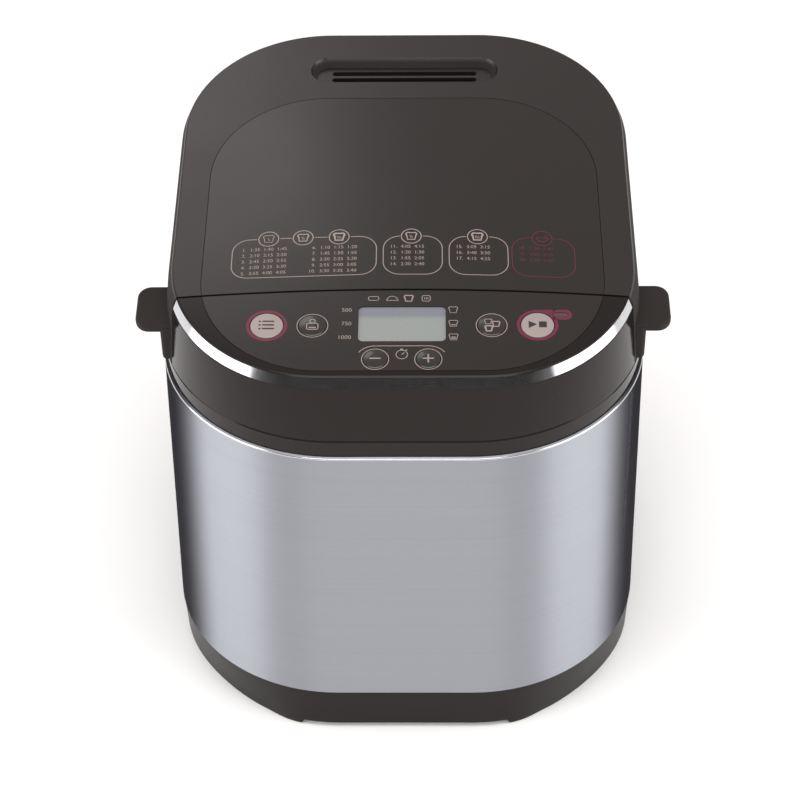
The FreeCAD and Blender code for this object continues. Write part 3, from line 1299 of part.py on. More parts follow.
def motor_pulley():
    """Small pulley on the motor's shaft."""
    lean = belt_lean()
    small = pitch_radius(PINION_TEETH)
    arc_start = pitch_radius(PULLEY_TEETH) * (math.pi + 2 * lean) + belt_span() * math.cos(lean)
    phase = math.degrees(math.pi + lean - arc_start / small)
    low = BELT_BOTTOM - PULLEY_SIDE
    high = BELT_BOTTOM + BELT_WIDTH + PULLEY_SIDE
    wheel = toothed_wheel(PINION_TEETH, phase, low, high, motor_y())
    cheek = 1.2
    cheeks = [cylinder(small + 2.5, foot, foot + cheek, 0, motor_y()) for foot in (low - cheek, high)]
    return joined(wheel, *cheeks).cut(cylinder(MOTOR_SHAFT, 0, CHASSIS_BOTTOM, 0, motor_y()))


def motor_fan():
    """Cooling fan on top of the motor's shaft."""
    low = MOTOR_TOP + 2.0
    hub = cylinder(FAN_HUB, low, low + 9.0, 0, motor_y())
    blade = box(0.0, FAN_REACH, -0.8, 0.8, 0.0, FAN_HEIGHT).rotated(Vector(), Vector(1, 0, 0), FAN_PITCH)
    blades = []
    for step in range(FAN_BLADES):
        turn = blade.rotated(Vector(), Vector(0, 0, 1), 360.0 * step / FAN_BLADES)
        blades.append(turn.translated(Vector(0, motor_y(), low + 1.0)))
    return joined(hub, *blades).cut(cylinder(MOTOR_SHAFT, low, low + 12.0, 0, motor_y()))


def chassis_screws():
    """Screws from under the base through its posts into the chassis."""
    seat = BASE_BOTTOM + SCREW_HEAD_HEIGHT
    return Part.makeCompound([screw(x, y, seat, CHASSIS_TOP) for x, y in BASE_POSTS])


def power_board():
    """Upright power board beside the motor, with two feet on the chassis."""
    front = motor_y() - POWER_HALF
    rear = motor_y() + POWER_HALF
    low = CHASSIS_TOP + POWER_LIFT
    board = box(POWER_LEFT, POWER_RIGHT, front, rear, low, CHASSIS_TOP + POWER_HEIGHT)
    feet = [box(x, x + 6.0, front, rear, CHASSIS_TOP, low) for x in (POWER_LEFT + 4.0, POWER_RIGHT - 10.0)]
    return joined(board, *feet)


def power_components():
    """Transformer, relay and capacitor on the power board."""
    face = motor_y() + POWER_HALF
    left = POWER_LEFT + 4.0
    transformer = box(left, left + 28.0, face, face + 24.0, CHASSIS_TOP + 12.0, CHASSIS_TOP + 40.0)
    relay = box(left, left + 16.0, face, face + 15.0, CHASSIS_TOP + 48.0, CHASSIS_TOP + 68.0)
    place = Vector(left + 30.0, face, CHASSIS_TOP + 58.0)
    capacitor = Part.makeCylinder(7.0, 20.0, place, Vector(0, 1, 0))
    return Part.makeCompound([transformer, relay, capacitor])


PIECES = [
    steel_jacket, base_tray, rubber_feet, cord_gland, top_collar, control_housing, panel_overlay,
    display_window, display_module, status_light, control_board, key_switches, lid_shell, lid_panel,
    vent_grille, lid_liner, lid_screws, hinge_block, hinge_pins, chassis_plate, chamber_standoffs,
    baking_chamber, chamber_screws, floor_screws, heating_element, element_bushes, element_clips,
    temperature_probe, pan_clips, bread_pan, pan_foot, pan_bush, pan_seal, pan_handle, pan_shaft,
    pan_wing, pan_washer, kneading_paddle, drive_belt, driven_pulley, drive_shaft, pulley_nut,
    drive_dog, drive_bearing, motor_bracket, drive_motor, motor_screws, motor_shaft, motor_pulley,
    motor_fan, chassis_screws, power_board, power_components,
]


def main():
    """Build every piece and write it to its own file."""
    os.makedirs("parts", exist_ok=True)
    shapes = {piece.__name__: piece() for piece in PIECES}
    for name, (x, v, radius) in KEYS.items():
        shapes[name] = key(x, v, radius)
    for name, shape in shapes.items():
        state = "valid" if shape.isValid() else "INVALID"
        print(name, len(shape.Solids), "solids", round(shape.Volume), "mm3", state)
        shape.exportStep(os.path.join("parts", name + ".step"))


main()
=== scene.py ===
import json
import math

import bpy
import numpy as np
from bpy.props import FloatProperty, FloatVectorProperty, PointerProperty
from bpy.types import Operator, Panel, PropertyGroup
from mathutils import Matrix, Vector


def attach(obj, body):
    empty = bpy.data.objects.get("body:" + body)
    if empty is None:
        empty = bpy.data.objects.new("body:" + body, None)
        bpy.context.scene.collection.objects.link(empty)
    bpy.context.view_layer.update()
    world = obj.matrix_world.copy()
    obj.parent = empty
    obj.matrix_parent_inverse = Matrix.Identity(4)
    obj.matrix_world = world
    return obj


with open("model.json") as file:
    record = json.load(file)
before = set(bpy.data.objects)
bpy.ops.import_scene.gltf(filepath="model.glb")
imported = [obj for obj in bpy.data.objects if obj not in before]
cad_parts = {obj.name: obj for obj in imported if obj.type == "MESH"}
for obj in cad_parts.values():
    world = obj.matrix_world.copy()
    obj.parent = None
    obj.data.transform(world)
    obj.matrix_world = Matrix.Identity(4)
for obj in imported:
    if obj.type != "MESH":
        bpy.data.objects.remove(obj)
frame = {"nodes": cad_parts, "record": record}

bl_info = {
    "name": "Bread machine dressing",
    "version": (1, 0, 0),
    "blender": (4, 5, 0),
    "location": "View3D > Sidebar > Bread machine",
    "description": "Finishes, printing, trim and studio for a packed bread machine",
    "category": "Object",
}

# The sloping top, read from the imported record: keys press straight into it
PRESS_AXIS = next(j["axis"] for j in frame["record"]["behaviour"]["joints"] if j["name"] == "start_press")
SLOPE = math.atan2(PRESS_AXIS[1], -PRESS_AXIS[2])
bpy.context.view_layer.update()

# The head's outline and bevel, in metres, as the solids have them
TOP_MIDDLE = 0.2644
HEAD_HALF = (0.1186, 0.1268)
HEAD_RADIUS = 0.0784
BEVEL_RUN = 0.0026
BEVEL_DROP = 0.00584
PARTING_Y = -0.068
PARTING_RADIUS = 1.2

# The jacket's outline at its top, its flare at the foot and its rolled edge, as the solids have them
JACKET_HALF = (0.125, 0.1331)
JACKET_RADIUS = 0.0918
JACKET_FLARE = 0.0033
JACKET_FOOT = 0.03
JACKET_TOP = 0.2008
JACKET_ROLL = 0.0012
JACKET_SEAM_HALF = 0.0004
RIM_BEND = math.radians(46)

# Skirt of the base: it draws in towards the floor, most at the corners, which reach down as feet
SKIRT_CLEAR = 0.0001
SKIRT_TOP = JACKET_FOOT - SKIRT_CLEAR
SKIRT_INSET = 0.0003
SKIRT_DRAFT = 0.0008
SKIRT_CORNER_DRAFT = 0.004
SKIRT_SOFT = 0.0009
SKIRT_RIM = 0.003
SKIRT_INSIDE = 0.0045
SKIRT_RAISED = 0.003
SKIRT_END_X = 0.03
SKIRT_DIVE = 0.004
FOOT_X = 0.0565
FOOT_Y = 0.046
FOOT_STEP = 0.0014
FOOT_FLANK = 0.022
STRAIGHT_REAR = 0.999

# Points along a run of the meshes, and rows across their walls and round edges
RUN_STEPS = 80
WALL_ROWS = 9
EDGE_ROWS = 7
RIM_ROWS = 9
TRIM_STEPS = 90
TRIM_ROWS = 7

# Trim on the bevel: the share of the bevel that it covers, its gap to the lid, and where it stops short
TRIM_SHARE = (0.09, 0.91)
TRIM_GAP = 0.0004
TRIM_SHORT = 0.004
NO_TURN = 1e-4

# Printing on the slope: x across, v up the slope, in metres
KEY_ROW_V = -0.0923
TIMER_V = -0.1143
KEY_PLACES = {
    "menu": (-0.0665, KEY_ROW_V, 0.0081),
    "weight": (-0.044, KEY_ROW_V, 0.007),
    "minus": (-0.0129, TIMER_V, 0.006),
    "plus": (0.0129, TIMER_V, 0.006),
    "crust": (0.044, KEY_ROW_V, 0.007),
    "start": (0.0665, KEY_ROW_V, 0.0081),
}
MAIN_KEYS = ("menu", "start")
KEY_PROUD = 0.0007
KEY_CROWN = 0.00035
KEY_EDGE = 0.0005
SIGN_LENGTH = 0.0055
SIGN_WIDTH = 0.0008
SIGN_ARM = 0.0023
LIGHT_PLACE = (0.078, -0.0854)
DISPLAY_PLACE = (0.0, -0.091)
DISPLAY_HALF = (0.0215, 0.0116)
ROW_STEP = 0.009
RING_GAP = 0.00035
MAIN_RING = (0.0005, 0.0021)
PICTURE_LINE = 0.0004
BOLD_LINE = 0.0007
SLICE_SIZE = 0.0042
BOX_TOP = -0.0309
BOX_BOTTOM = -0.0576
BOXES = ((-0.0862, -0.0133), (-0.0098, 0.02), (0.0235, 0.0532), (0.0552, 0.0868))
BOX_BADGES = ((-0.0682, -0.0507, -0.0324), (0.0043,), (0.0379,), (0.0708,))
BOX_ROWS = ((5, 5), (4,), (3,), (3,))
BOX_RADIUS = 0.0085
BADGE_RADIUS = 0.0053
BADGE_LINE = 0.0005
BADGE_GAP = 0.0006
SHORTEST_LINE = 0.0005
COLUMN_INSET = 0.0042
COLUMN_STEP = 0.0355
FIRST_LINE = 0.0082
LINE_STEP = 0.0041
FIGURE_SIZE = 0.003
NUMBER_END = 0.0028
TIMES_START = 0.0046
THIN_INK = 0.8

# Made-up baking times in minutes: the least, how they step and where they start over, and what is added
LEAST_TIME = 60
TIME_STEP = 35
TIME_SPAN = 200
THREE_TIMES = (0, 5, 10)
TWO_TIMES = (0, 10)
LAST_WITH_THREE = 10

# The camera that the photograph was taken from
CAMERA_PLACE = (0.0134, -0.9152, 0.9349)
CAMERA_FORWARD = (-0.0135, 0.7473, -0.6644)
CAMERA_ROLL = math.radians(-0.79)
SENSOR_WIDTH = 36.0

# Strength of the sky: at the horizon in front, at the horizon elsewhere, and above
SKY_FRONT = 0.03
SKY_HORIZON = 0.4
SKY_ABOVE = 0.66
SKY_TINT = (1.0, 0.97, 0.95, 1.0)

# Parts of a unit direction between which the sky turns: up from the horizon, and round from the front
SKY_RISE = (0.08, 0.5)
SKY_TURN = (-0.9, -0.45)

# Floor and lights
FLOOR_HALF = 6.0
LIGHT_TARGET = (0, 0, 0.15)
COOL_WHITE = (0.98, 0.99, 1.0)

# Grain that bumps raise, turn of the brushed gloss, roughness of clear coats, and the plastics' warm gloss
BUMP_DISTANCE = 0.0002
ACROSS_BRUSH = 0.25
COAT_ROUGH = 0.06
WARM_GLOSS = (1.0, 0.91, 0.89, 1.0)

# Painted dark reflection on the jacket's sides: its tint, and how far inside its widest line it starts and is
# full
SIDE_REFLECTION_TINT = (0.23, 0.22, 0.225, 1.0)
SIDE_START = 0.024
SIDE_FULL = 0.001

# Painted shadow on the display: its tint, and the depths under the upper edge where it ends and is full
DISPLAY_SHADE = (0.72, 0.7, 0.85)
DISPLAY_SHADE_END = 0.0085
DISPLAY_SHADE_FULL = 0.0045

# Depths under the sloping top between which the lid's walls turn matt, and by how much
WALL_DEPTH = (0.0004, 0.0025)
WALL_ROUGH = 0.6


def length_value(label, description, default):
    """Property for a small length."""
    return FloatProperty(name=label, description=description, default=default, unit="LENGTH", precision=6)


def colour_value(label, description, default):
    """Property for a colour."""
    return FloatVectorProperty(
        name=label, description=description, subtype="COLOR", size=3, default=default, min=0, max=1)


class BreadMachineSizes(PropertyGroup):
    """Sizes that a user would change."""

    lens: FloatProperty(
        name="Lens", description="Focal length of the camera, mm", default=98.1, min=20.0, max=300.0)
    print_lift: length_value("Print lift", "Height of the printing over the sheet", 0.00005)
    line: length_value("Line", "Width of printed lines", 0.00045)
    trim_lift: length_value("Trim lift", "Height of the bright trim over the bevel", 0.00008)


class BreadMachineColours(PropertyGroup):
    """Colours that a user would change."""

    moulding: colour_value("Moulding", "Dark warm plastic of the head and base", (0.0095, 0.0079, 0.0073))
    sheet: colour_value("Sheet", "Glossy sheet on panel and lid", (0.0105, 0.0085, 0.0078))
    steel: colour_value("Steel", "Brushed jacket", (0.385, 0.394, 0.43))
    ink_pale: colour_value("Pale ink", "Pinkish grey printing", (0.27, 0.215, 0.2))
    ink_magenta: colour_value("Magenta ink", "Rings round the two main keys", (0.115, 0.008, 0.034))
    key_cream: colour_value("Cream key", "Caps of the two main keys", (0.28, 0.235, 0.222))
    display: colour_value("Display", "Grey-green display", (0.222, 0.238, 0.228))
    floor: colour_value("Floor", "Pale floor", (0.93, 0.925, 0.92))


def sizes():
    """The scene's sizes."""
    return bpy.context.scene.bread_machine_sizes


def colours():
    """The scene's colours."""
    return bpy.context.scene.bread_machine_colours


# Shader groups that several finishes share


def group_with(name, inputs, outputs):
    """Empty shader group with a vector and other sockets, and its two end nodes."""
    tree = bpy.data.node_groups.new(name, "ShaderNodeTree")
    for label, kind, value in [("Vector", "Vector", None)] + inputs:
        socket = tree.interface.new_socket(label, in_out="INPUT", socket_type="NodeSocket" + kind)
        if value is not None:
            socket.default_value = value
    for label, kind in outputs:
        tree.interface.new_socket(label, in_out="OUTPUT", socket_type="NodeSocket" + kind)
    return tree, tree.nodes.new("NodeGroupInput"), tree.nodes.new("NodeGroupOutput")


def join(tree, socket, value):
    """Link a socket to another one, or set it to a plain value."""
    if isinstance(value, bpy.types.NodeSocket):
        tree.links.new(value, socket)
    else:
        socket.default_value = value


def feed(tree, node, **values):
    """Join a node's inputs to sockets or values by name; underscores stand for spaces."""
    for label, value in values.items():
        join(tree, node.inputs[label.replace("_", " ")], value)


def mixed(tree, factor, low, high, blend="MIX"):
    """Colour between two, which are sockets or colours."""
    node = tree.nodes.new("ShaderNodeMix")
    node.data_type = "RGBA"
    node.blend_type = blend
    feed(tree, node, Factor=factor, A=low, B=high)
    return node.outputs["Result"]


def noise(tree, vector, scale, detail, rough=0.55):
    """Noise texture on a vector; scale is a socket or a number."""
    node = tree.nodes.new("ShaderNodeTexNoise")
    feed(tree, node, Vector=vector, Scale=scale, Detail=detail, Roughness=rough)
    return node.outputs["Fac"]


def ranged(tree, value, low, high):
    """Value from 0.25..0.75 stretched to a low and a high socket or number."""
    node = tree.nodes.new("ShaderNodeMapRange")
    feed(tree, node, Value=value, From_Min=0.25, From_Max=0.75, To_Min=low, To_Max=high)
    return node.outputs["Result"]


def smooth_rise(tree, value, low, high):
    """Smooth step from 0 at a low value to 1 at a high one."""
    node = tree.nodes.new("ShaderNodeMapRange")
    node.interpolation_type = "SMOOTHSTEP"
    feed(tree, node, Value=value, From_Min=low, From_Max=high)
    return node.outputs["Result"]


def reckon(tree, operation, *values, kind="ShaderNodeMath"):
    """Math node on sockets or numbers."""
    node = tree.nodes.new(kind)
    node.operation = operation
    for socket, value in zip(node.inputs, values):
        join(tree, socket, value)
    return node.outputs[0]


def axes_of(tree, vector):
    """The three parts of a vector."""
    node = tree.nodes.new("ShaderNodeSeparateXYZ")
    feed(tree, node, Vector=vector)
    return node.outputs


def moulded_skin():
    """Group: fine moulded grain as a height, and soft handling smudges as a roughness."""
    if "moulded_skin" in bpy.data.node_groups:
        return bpy.data.node_groups["moulded_skin"]
    tree, start, end = group_with(
        "moulded_skin",
        [("Grain Scale", "Float", 900.0), ("Smooth", "Float", 0.2), ("Rough", "Float", 0.3)],
        [("Height", "Float"), ("Roughness", "Float")])
    grain = noise(tree, start.outputs["Vector"], start.outputs["Grain Scale"], detail=3.0)
    smudge = noise(tree, start.outputs["Vector"], scale=14.0, detail=4.0)
    rough = ranged(tree, smudge, start.outputs["Smooth"], start.outputs["Rough"])
    feed(tree, end, Height=grain, Roughness=rough)
    return tree


def tone_drift():
    """Group: a base colour that drifts slowly between two tones."""
    if "tone_drift" in bpy.data.node_groups:
        return bpy.data.node_groups["tone_drift"]
    tree, start, end = group_with(
        "tone_drift",
        [("Tone A", "Color", None), ("Tone B", "Color", None), ("Scale", "Float", 9.0)],
        [("Color", "Color")])
    cloud = noise(tree, start.outputs["Vector"], start.outputs["Scale"], detail=3.0)
    tone = mixed(tree, ranged(tree, cloud, 0.0, 1.0), start.outputs["Tone A"], start.outputs["Tone B"])
    feed(tree, end, Color=tone)
    return tree


def brush_lines():
    """Group: lines drawn out along the metal, as a height, a roughness and a tint."""
    if "brush_lines" in bpy.data.node_groups:
        return bpy.data.node_groups["brush_lines"]
    tree, start, end = group_with(
        "brush_lines",
        [("Stretch", "Vector", (6.0, 6.0, 1400.0)), ("Smooth", "Float", 0.22), ("Rough", "Float", 0.4),
         ("Tone A", "Color", None), ("Tone B", "Color", None)],
        [("Height", "Float"), ("Roughness", "Float"), ("Color", "Color")])
    drawn_out = reckon(tree, "MULTIPLY", start.outputs["Vector"], start.outputs["Stretch"],
                       kind="ShaderNodeVectorMath")
    lines = noise(tree, drawn_out, scale=1.0, detail=4.0, rough=0.65)
    tone = mixed(tree, ranged(tree, lines, 0.0, 1.0), start.outputs["Tone A"], start.outputs["Tone B"])
    rough = ranged(tree, lines, start.outputs["Smooth"], start.outputs["Rough"])
    feed(tree, end, Height=lines, Roughness=rough, Color=tone)
    return tree


# Finishes


def new_finish(name):
    """Material with a Principled shader and Object coordinates."""
    material = bpy.data.materials.new(name)
    material.use_nodes = True
    tree = material.node_tree
    shader = tree.nodes["Principled BSDF"]
    place = tree.nodes.new("ShaderNodeTexCoord").outputs["Object"]
    return material, tree, shader, place


def place_group(tree, group, place, **values):
    """Put a shared group into a material with its own values."""
    node = tree.nodes.new("ShaderNodeGroup")
    node.node_tree = group
    feed(tree, node, Vector=place, **values)
    return node.outputs


def raise_bump(tree, height, strength):
    """Normal that a height raises."""
    bump = tree.nodes.new("ShaderNodeBump")
    feed(tree, bump, Height=height, Strength=strength, Distance=BUMP_DISTANCE)
    return bump.outputs["Normal"]


def tones(colour, spread):
    """Two tones round a colour, darker and lighter by a spread."""
    base = np.array(colour)
    return tuple(base * (1 - spread)) + (1.0,), tuple(np.minimum(base * (1 + spread), 1.0)) + (1.0,)


def plastic(name, colour, rough, grain=900.0, bump=0.08, spread=0.06, coat=0.0, metallic=0.0, gloss=0.5):
    """Moulded or coated finish: drifting tone, smudged roughness and fine grain."""
    material, tree, shader, place = new_finish(name)
    dark, light = tones(colour, spread)
    tone = place_group(tree, tone_drift(), place, Tone_A=dark, Tone_B=light)
    skin = place_group(tree, moulded_skin(), place, Grain_Scale=grain, Smooth=rough[0], Rough=rough[1])
    feed(tree, shader, Base_Color=tone["Color"], Roughness=skin["Roughness"], Metallic=metallic,
         Normal=raise_bump(tree, skin["Height"], bump), Specular_IOR_Level=gloss,
         Specular_Tint=WARM_GLOSS, Coat_Weight=coat, Coat_Roughness=COAT_ROUGH)
    return material


def brushed(name, colour, rough, stretch, bump=0.05, spread=0.12, anisotropy=0.0, edge=1.0):
    """Metal with drawn-out brush lines."""
    material, tree, shader, place = new_finish(name)
    dark, light = tones(colour, spread)
    lines = place_group(tree, brush_lines(), place, Stretch=stretch, Smooth=rough[0], Rough=rough[1],
                        Tone_A=dark, Tone_B=light)
    feed(tree, shader, Base_Color=lines["Color"], Roughness=lines["Roughness"], Metallic=1.0,
         Normal=raise_bump(tree, lines["Height"], bump), Specular_Tint=(edge, edge, edge, 1.0),
         Anisotropic=anisotropy, Anisotropic_Rotation=ACROSS_BRUSH)
    if anisotropy:
        round_axis = tree.nodes.new("ShaderNodeTangent")
        round_axis.direction_type = "RADIAL"
        round_axis.axis = "Z"
        feed(tree, shader, Tangent=round_axis.outputs["Tangent"])
    return material


def paint_side_reflection(material):
    """Paint a dark reflection into the jacket's colour where its round corners turn to the sides, as a dark
    room would show in them.

    The painted reflection rises with x over the corner, follows the flare up the jacket, and fades along
    the flat side with y.
    """
    tree = material.node_tree
    shader = tree.nodes["Principled BSDF"]
    lines = shader.inputs["Base Color"].links[0].from_socket
    x, y, z = axes_of(tree, tree.nodes["Texture Coordinate"].outputs["Object"])
    flare = JACKET_FLARE / (JACKET_TOP - JACKET_FOOT)
    upright = reckon(tree, "MULTIPLY_ADD", z, flare, reckon(tree, "ABSOLUTE", x))
    across = smooth_rise(tree, upright, JACKET_HALF[0] - SIDE_START, JACKET_HALF[0] - SIDE_FULL)
    along = smooth_rise(tree, reckon(tree, "ABSOLUTE", y), 0.0, JACKET_HALF[1] - JACKET_RADIUS)
    # The painted dark reflection multiplies the brush lines' colour
    shade = mixed(tree, reckon(tree, "MULTIPLY", across, along), lines, SIDE_REFLECTION_TINT, "MULTIPLY")
    feed(tree, shader, Base_Color=shade)


def matt_walls(material):
    """Roughen what lies under the sloping top: the walls and the vent's recess."""
    tree = material.node_tree
    shader = tree.nodes["Principled BSDF"]
    skin = shader.inputs["Roughness"].links[0].from_socket
    axes = axes_of(tree, tree.nodes["Texture Coordinate"].outputs["Object"])
    top = reckon(tree, "MULTIPLY_ADD", axes["Y"], math.tan(SLOPE), TOP_MIDDLE)
    under = smooth_rise(tree, reckon(tree, "SUBTRACT", top, axes["Z"]), *WALL_DEPTH)
    feed(tree, shader, Roughness=reckon(tree, "MULTIPLY_ADD", under, WALL_ROUGH, skin))


def display_finish():
    """Grey-green display: a bluish shadow is painted on its upper edge, under a clear glossy cover."""
    material, tree, shader, place = new_finish("display_grey_green")
    edge = (DISPLAY_PLACE[1] + DISPLAY_HALF[1]) * math.cos(SLOPE)
    y = axes_of(tree, place)["Y"]
    shade = smooth_rise(tree, y, edge - DISPLAY_SHADE_END, edge - DISPLAY_SHADE_FULL)
    base = np.array(colours().display)
    dark = base * np.array(DISPLAY_SHADE)
    tone = mixed(tree, shade, tuple(base) + (1.0,), tuple(dark) + (1.0,))
    skin = place_group(tree, moulded_skin(), place, Grain_Scale=1500.0, Smooth=0.22, Rough=0.3)
    feed(tree, shader, Base_Color=tone, Roughness=skin["Roughness"], Coat_Weight=0.4)
    return material


# Meshes


def grid_faces(rows, columns, closed=False):
    """Quads of a grid of rows by columns; closed joins the last column to the first."""
    across = columns if closed else columns - 1
    row, column = np.meshgrid(np.arange(rows - 1), np.arange(across), indexing="ij")
    after = (column + 1) % columns
    quads = np.stack([row * columns + column, row * columns + after,
                      (row + 1) * columns + after, (row + 1) * columns + column], axis=-1)
    return quads.reshape(-1, 4)


def new_object(name, data):
    """Object of some data, linked to the scene."""
    item = bpy.data.objects.new(name, data)
    bpy.context.scene.collection.objects.link(item)
    return item


def make_piece(name, points, faces, material, body, smooth=True):
    """Mesh object at the origin that rides on a body."""
    mesh = bpy.data.meshes.new(name)
    mesh.from_pydata(points.tolist(), [], [list(face) for face in faces])
    mesh.update()
    mesh.materials.append(material)
    if smooth:
        mesh.shade_smooth()
    else:
        mesh.shade_flat()
    piece = new_object(name, mesh)
    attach(piece, body)
    return piece


def on_slope(x, v, lift):
    """Points of the sloping top from x, v and a lift along its normal."""
    y = v * math.cos(SLOPE) - lift * math.sin(SLOPE)
    z = TOP_MIDDLE + v * math.sin(SLOPE) + lift * math.cos(SLOPE)
    return np.stack(np.broadcast_arrays(x, y, z), axis=-1)


def bowed(flat):
    """Points of the lid's printing, bowed like the lid's front edge: v falls with x squared."""
    return np.column_stack([flat[:, 0], flat[:, 1] - flat[:, 0] ** 2 / (2 * PARTING_RADIUS)])


class Ink:
    """Flat shapes of one ink, gathered into one mesh."""

    def __init__(self):
        self.points = []
        self.faces = []
        self.count = 0

    def add(self, points, faces):
        """Add a shape's points (x, v) and faces."""
        self.points.append(np.asarray(points, dtype=float))
        self.faces += [[index + self.count for index in face] for face in faces]
        self.count += len(points)

    def strip(self, inner, outer, closed):
        """Band between two rows of points."""
        quads = grid_faces(2, len(inner), closed)[:, ::-1]
        self.add(np.vstack([inner, outer]), quads.tolist())

    def line(self, path, width, closed=False):
        """Band of a width along a path of points: each side is half a width along the normal."""
        path = np.asarray(path, dtype=float)
        step = np.roll(path, -1, axis=0) - np.roll(path, 1, axis=0)
        if not closed:
            step[0] = path[1] - path[0]
            step[-1] = path[-1] - path[-2]
        normal = np.column_stack([-step[:, 1], step[:, 0]])
        normal /= np.linalg.norm(normal, axis=1)[:, None]
        self.strip(path + normal * width / 2, path - normal * width / 2, closed)

    def ring(self, x, v, inner, outer, steps=72):
        """Flat ring."""
        turn = np.linspace(0, 2 * math.pi, steps, endpoint=False)
        unit = np.column_stack([np.cos(turn), np.sin(turn)])
        self.strip(unit * inner + (x, v), unit * outer + (x, v), True)

    def patch(self, corners, steps=7):
        """Four-sided patch: straight blend between the corners, in steps, so that it can follow a dome."""
        near, far = np.meshgrid(np.linspace(0, 1, steps), np.linspace(0, 1, steps))
        weights = np.stack([(1 - near) * (1 - far), near * (1 - far), near * far, (1 - near) * far], axis=-1)
        points = weights.reshape(-1, 4) @ np.asarray(corners, dtype=float)
        self.add(points, grid_faces(steps, steps).tolist())

    def bar(self, x, v, width, height, turn=0.0):
        """Filled rectangle about a middle."""
        corners = np.array([[-1, -1], [1, -1], [1, 1], [-1, 1]]) * np.array([width, height]) / 2
        spin = np.array([[math.cos(turn), math.sin(turn)], [-math.sin(turn), math.cos(turn)]])
        self.patch(corners @ spin + (x, v))

    def frame(self, x, v, half_x, half_v, radius, width):
        """Rounded frame about a middle."""
        path = rounded_path(x - half_x, x + half_x, v - half_v, v + half_v, radius, steps=6)
        self.line(path, width, True)

    def text(self, words, x, v, size, align="LEFT"):
        """Figures on one line, set in the plain built-in face."""
        curve = bpy.data.curves.new("figures", "FONT")
        curve.body = words
        curve.size = size
        curve.align_x = align
        curve.resolution_u = 3
        holder = new_object("figures", curve)
        solid = holder.evaluated_get(bpy.context.evaluated_depsgraph_get())
        mesh = bpy.data.meshes.new_from_object(solid)
        points = np.empty(len(mesh.vertices) * 3)
        mesh.vertices.foreach_get("co", points)
        faces = [list(face.vertices) for face in mesh.polygons]
        self.add(points.reshape(-1, 3)[:, :2] + (x, v), faces)
        bpy.data.objects.remove(holder)
        bpy.data.curves.remove(curve)
        bpy.data.meshes.remove(mesh)

    def piece(self, name, material, body, lift, bow=False):
        """Mesh of everything gathered; lift is a height or a function of x and v."""
        flat = np.vstack(self.points)
        height = lift(flat[:, 0], flat[:, 1]) if callable(lift) else lift
        if bow:
            flat = bowed(flat)
        points = on_slope(flat[:, 0], flat[:, 1], height)
        make_piece(name, points, self.faces, material, body, smooth=False)


def rounded_path(x0, x1, v0, v1, radius, steps=10):
    """Closed path of a rectangle with round corners, anticlockwise from the lower right corner's arc."""
    arcs = []
    for quarter, (x, v) in enumerate(((x1 - radius, v0 + radius), (x1 - radius, v1 - radius),
                                      (x0 + radius, v1 - radius), (x0 + radius, v0 + radius))):
        arcs.append(arc_path(x, v, radius, 90 * (quarter - 1), 90 * quarter, steps))
    return np.vstack(arcs)


def arc_path(x, v, radius, start, end, steps=24):
    """Open path along an arc, in degrees."""
    turn = np.radians(np.linspace(start, end, steps))
    return np.column_stack([x + radius * np.cos(turn), v + radius * np.sin(turn)])


def loaf_path(x, v, size):
    """Closed outline of a slice of bread: a square foot under two soft shoulders."""
    half = size / 2
    shoulder_x = 0.6 * half
    shoulder_v = v + 0.55 * half
    bend = 0.45 * half
    foot_x = 0.72 * half
    foot_v = v - 0.9 * half
    left = arc_path(x - shoulder_x, shoulder_v, bend, 230, 60, 9)
    right = arc_path(x + shoulder_x, shoulder_v, bend, 120, -50, 9)
    foot = np.array([[x + foot_x, foot_v], [x - foot_x, foot_v]])
    return np.vstack([left, right, foot])


# Operators: finishes


def dress(material, *nodes):
    """Give CAD nodes a finish."""
    for node in nodes:
        target = frame["nodes"][node]
        target.data.materials.clear()
        target.data.materials.append(material)


class BREADMACHINE_OT_casing(Operator):
    """Finish the jacket, the mouldings and the glossy sheets"""

    bl_idname = "breadmachine.casing"
    bl_label = "Casing finishes"

    def execute(self, context):
        colour = colours()
        steel = brushed("jacket_brushed_steel", colour.steel, (0.44, 0.56), (4.0, 4.0, 2600.0), bump=0.0,
                        spread=0.09, anisotropy=0.92, edge=0.2)
        # Dark reflection painted into the steel's colour at its sides
        paint_side_reflection(steel)
        dress(steel, "steel_jacket")
        satin = {"rough": (0.24, 0.31), "grain": 1600.0, "bump": 0.05, "gloss": 0.54}
        moulding = plastic("moulding_satin", colour.moulding, **satin)
        matt_walls(moulding)
        dress(moulding, "lid_shell", "hinge_block")
        dress(plastic("grille_satin", colour.moulding, **satin), "vent_grille")
        fascia = plastic("fascia_gloss", colour.moulding, (0.1, 0.15), 1200.0, 0.02, gloss=0.22)
        dress(fascia, "control_housing", "top_collar")
        base = plastic("base_satin", colour.moulding, (0.33, 0.42), 1400.0, 0.12, gloss=0.16)
        dress(base, "base_tray")
        sheet = plastic("sheet_gloss", colour.sheet, (0.17, 0.22), 700.0, 0.01, spread=0.04)
        dress(sheet, "lid_panel", "panel_overlay")
        rubber = plastic("foot_rubber", (0.02, 0.02, 0.02), (0.6, 0.75), 1800.0, 0.3)
        dress(rubber, "rubber_feet", "cord_gland")
        return {"FINISHED"}


class BREADMACHINE_OT_keys(Operator):
    """Finish the keys, the display and the status light"""

    bl_idname = "breadmachine.keys"
    bl_label = "Key and display finishes"

    def execute(self, context):
        colour = colours()
        cream = plastic("key_cream", colour.key_cream, (0.32, 0.4), 2500.0, 0.05, spread=0.03)
        dress(cream, "menu_button", "start_button")
        dark = plastic("key_dark", colour.sheet, (0.16, 0.22), 1200.0, 0.02, spread=0.05, coat=0.4)
        dress(dark, "weight_button", "minus_button", "plus_button", "crust_button")
        dress(display_finish(), "display_window", "display_module")
        guide = plastic("light_guide", (0.06, 0.03, 0.035), (0.1, 0.16), 900.0, 0.01, spread=0.1, coat=0.5)
        dress(guide, "status_light")
        return {"FINISHED"}


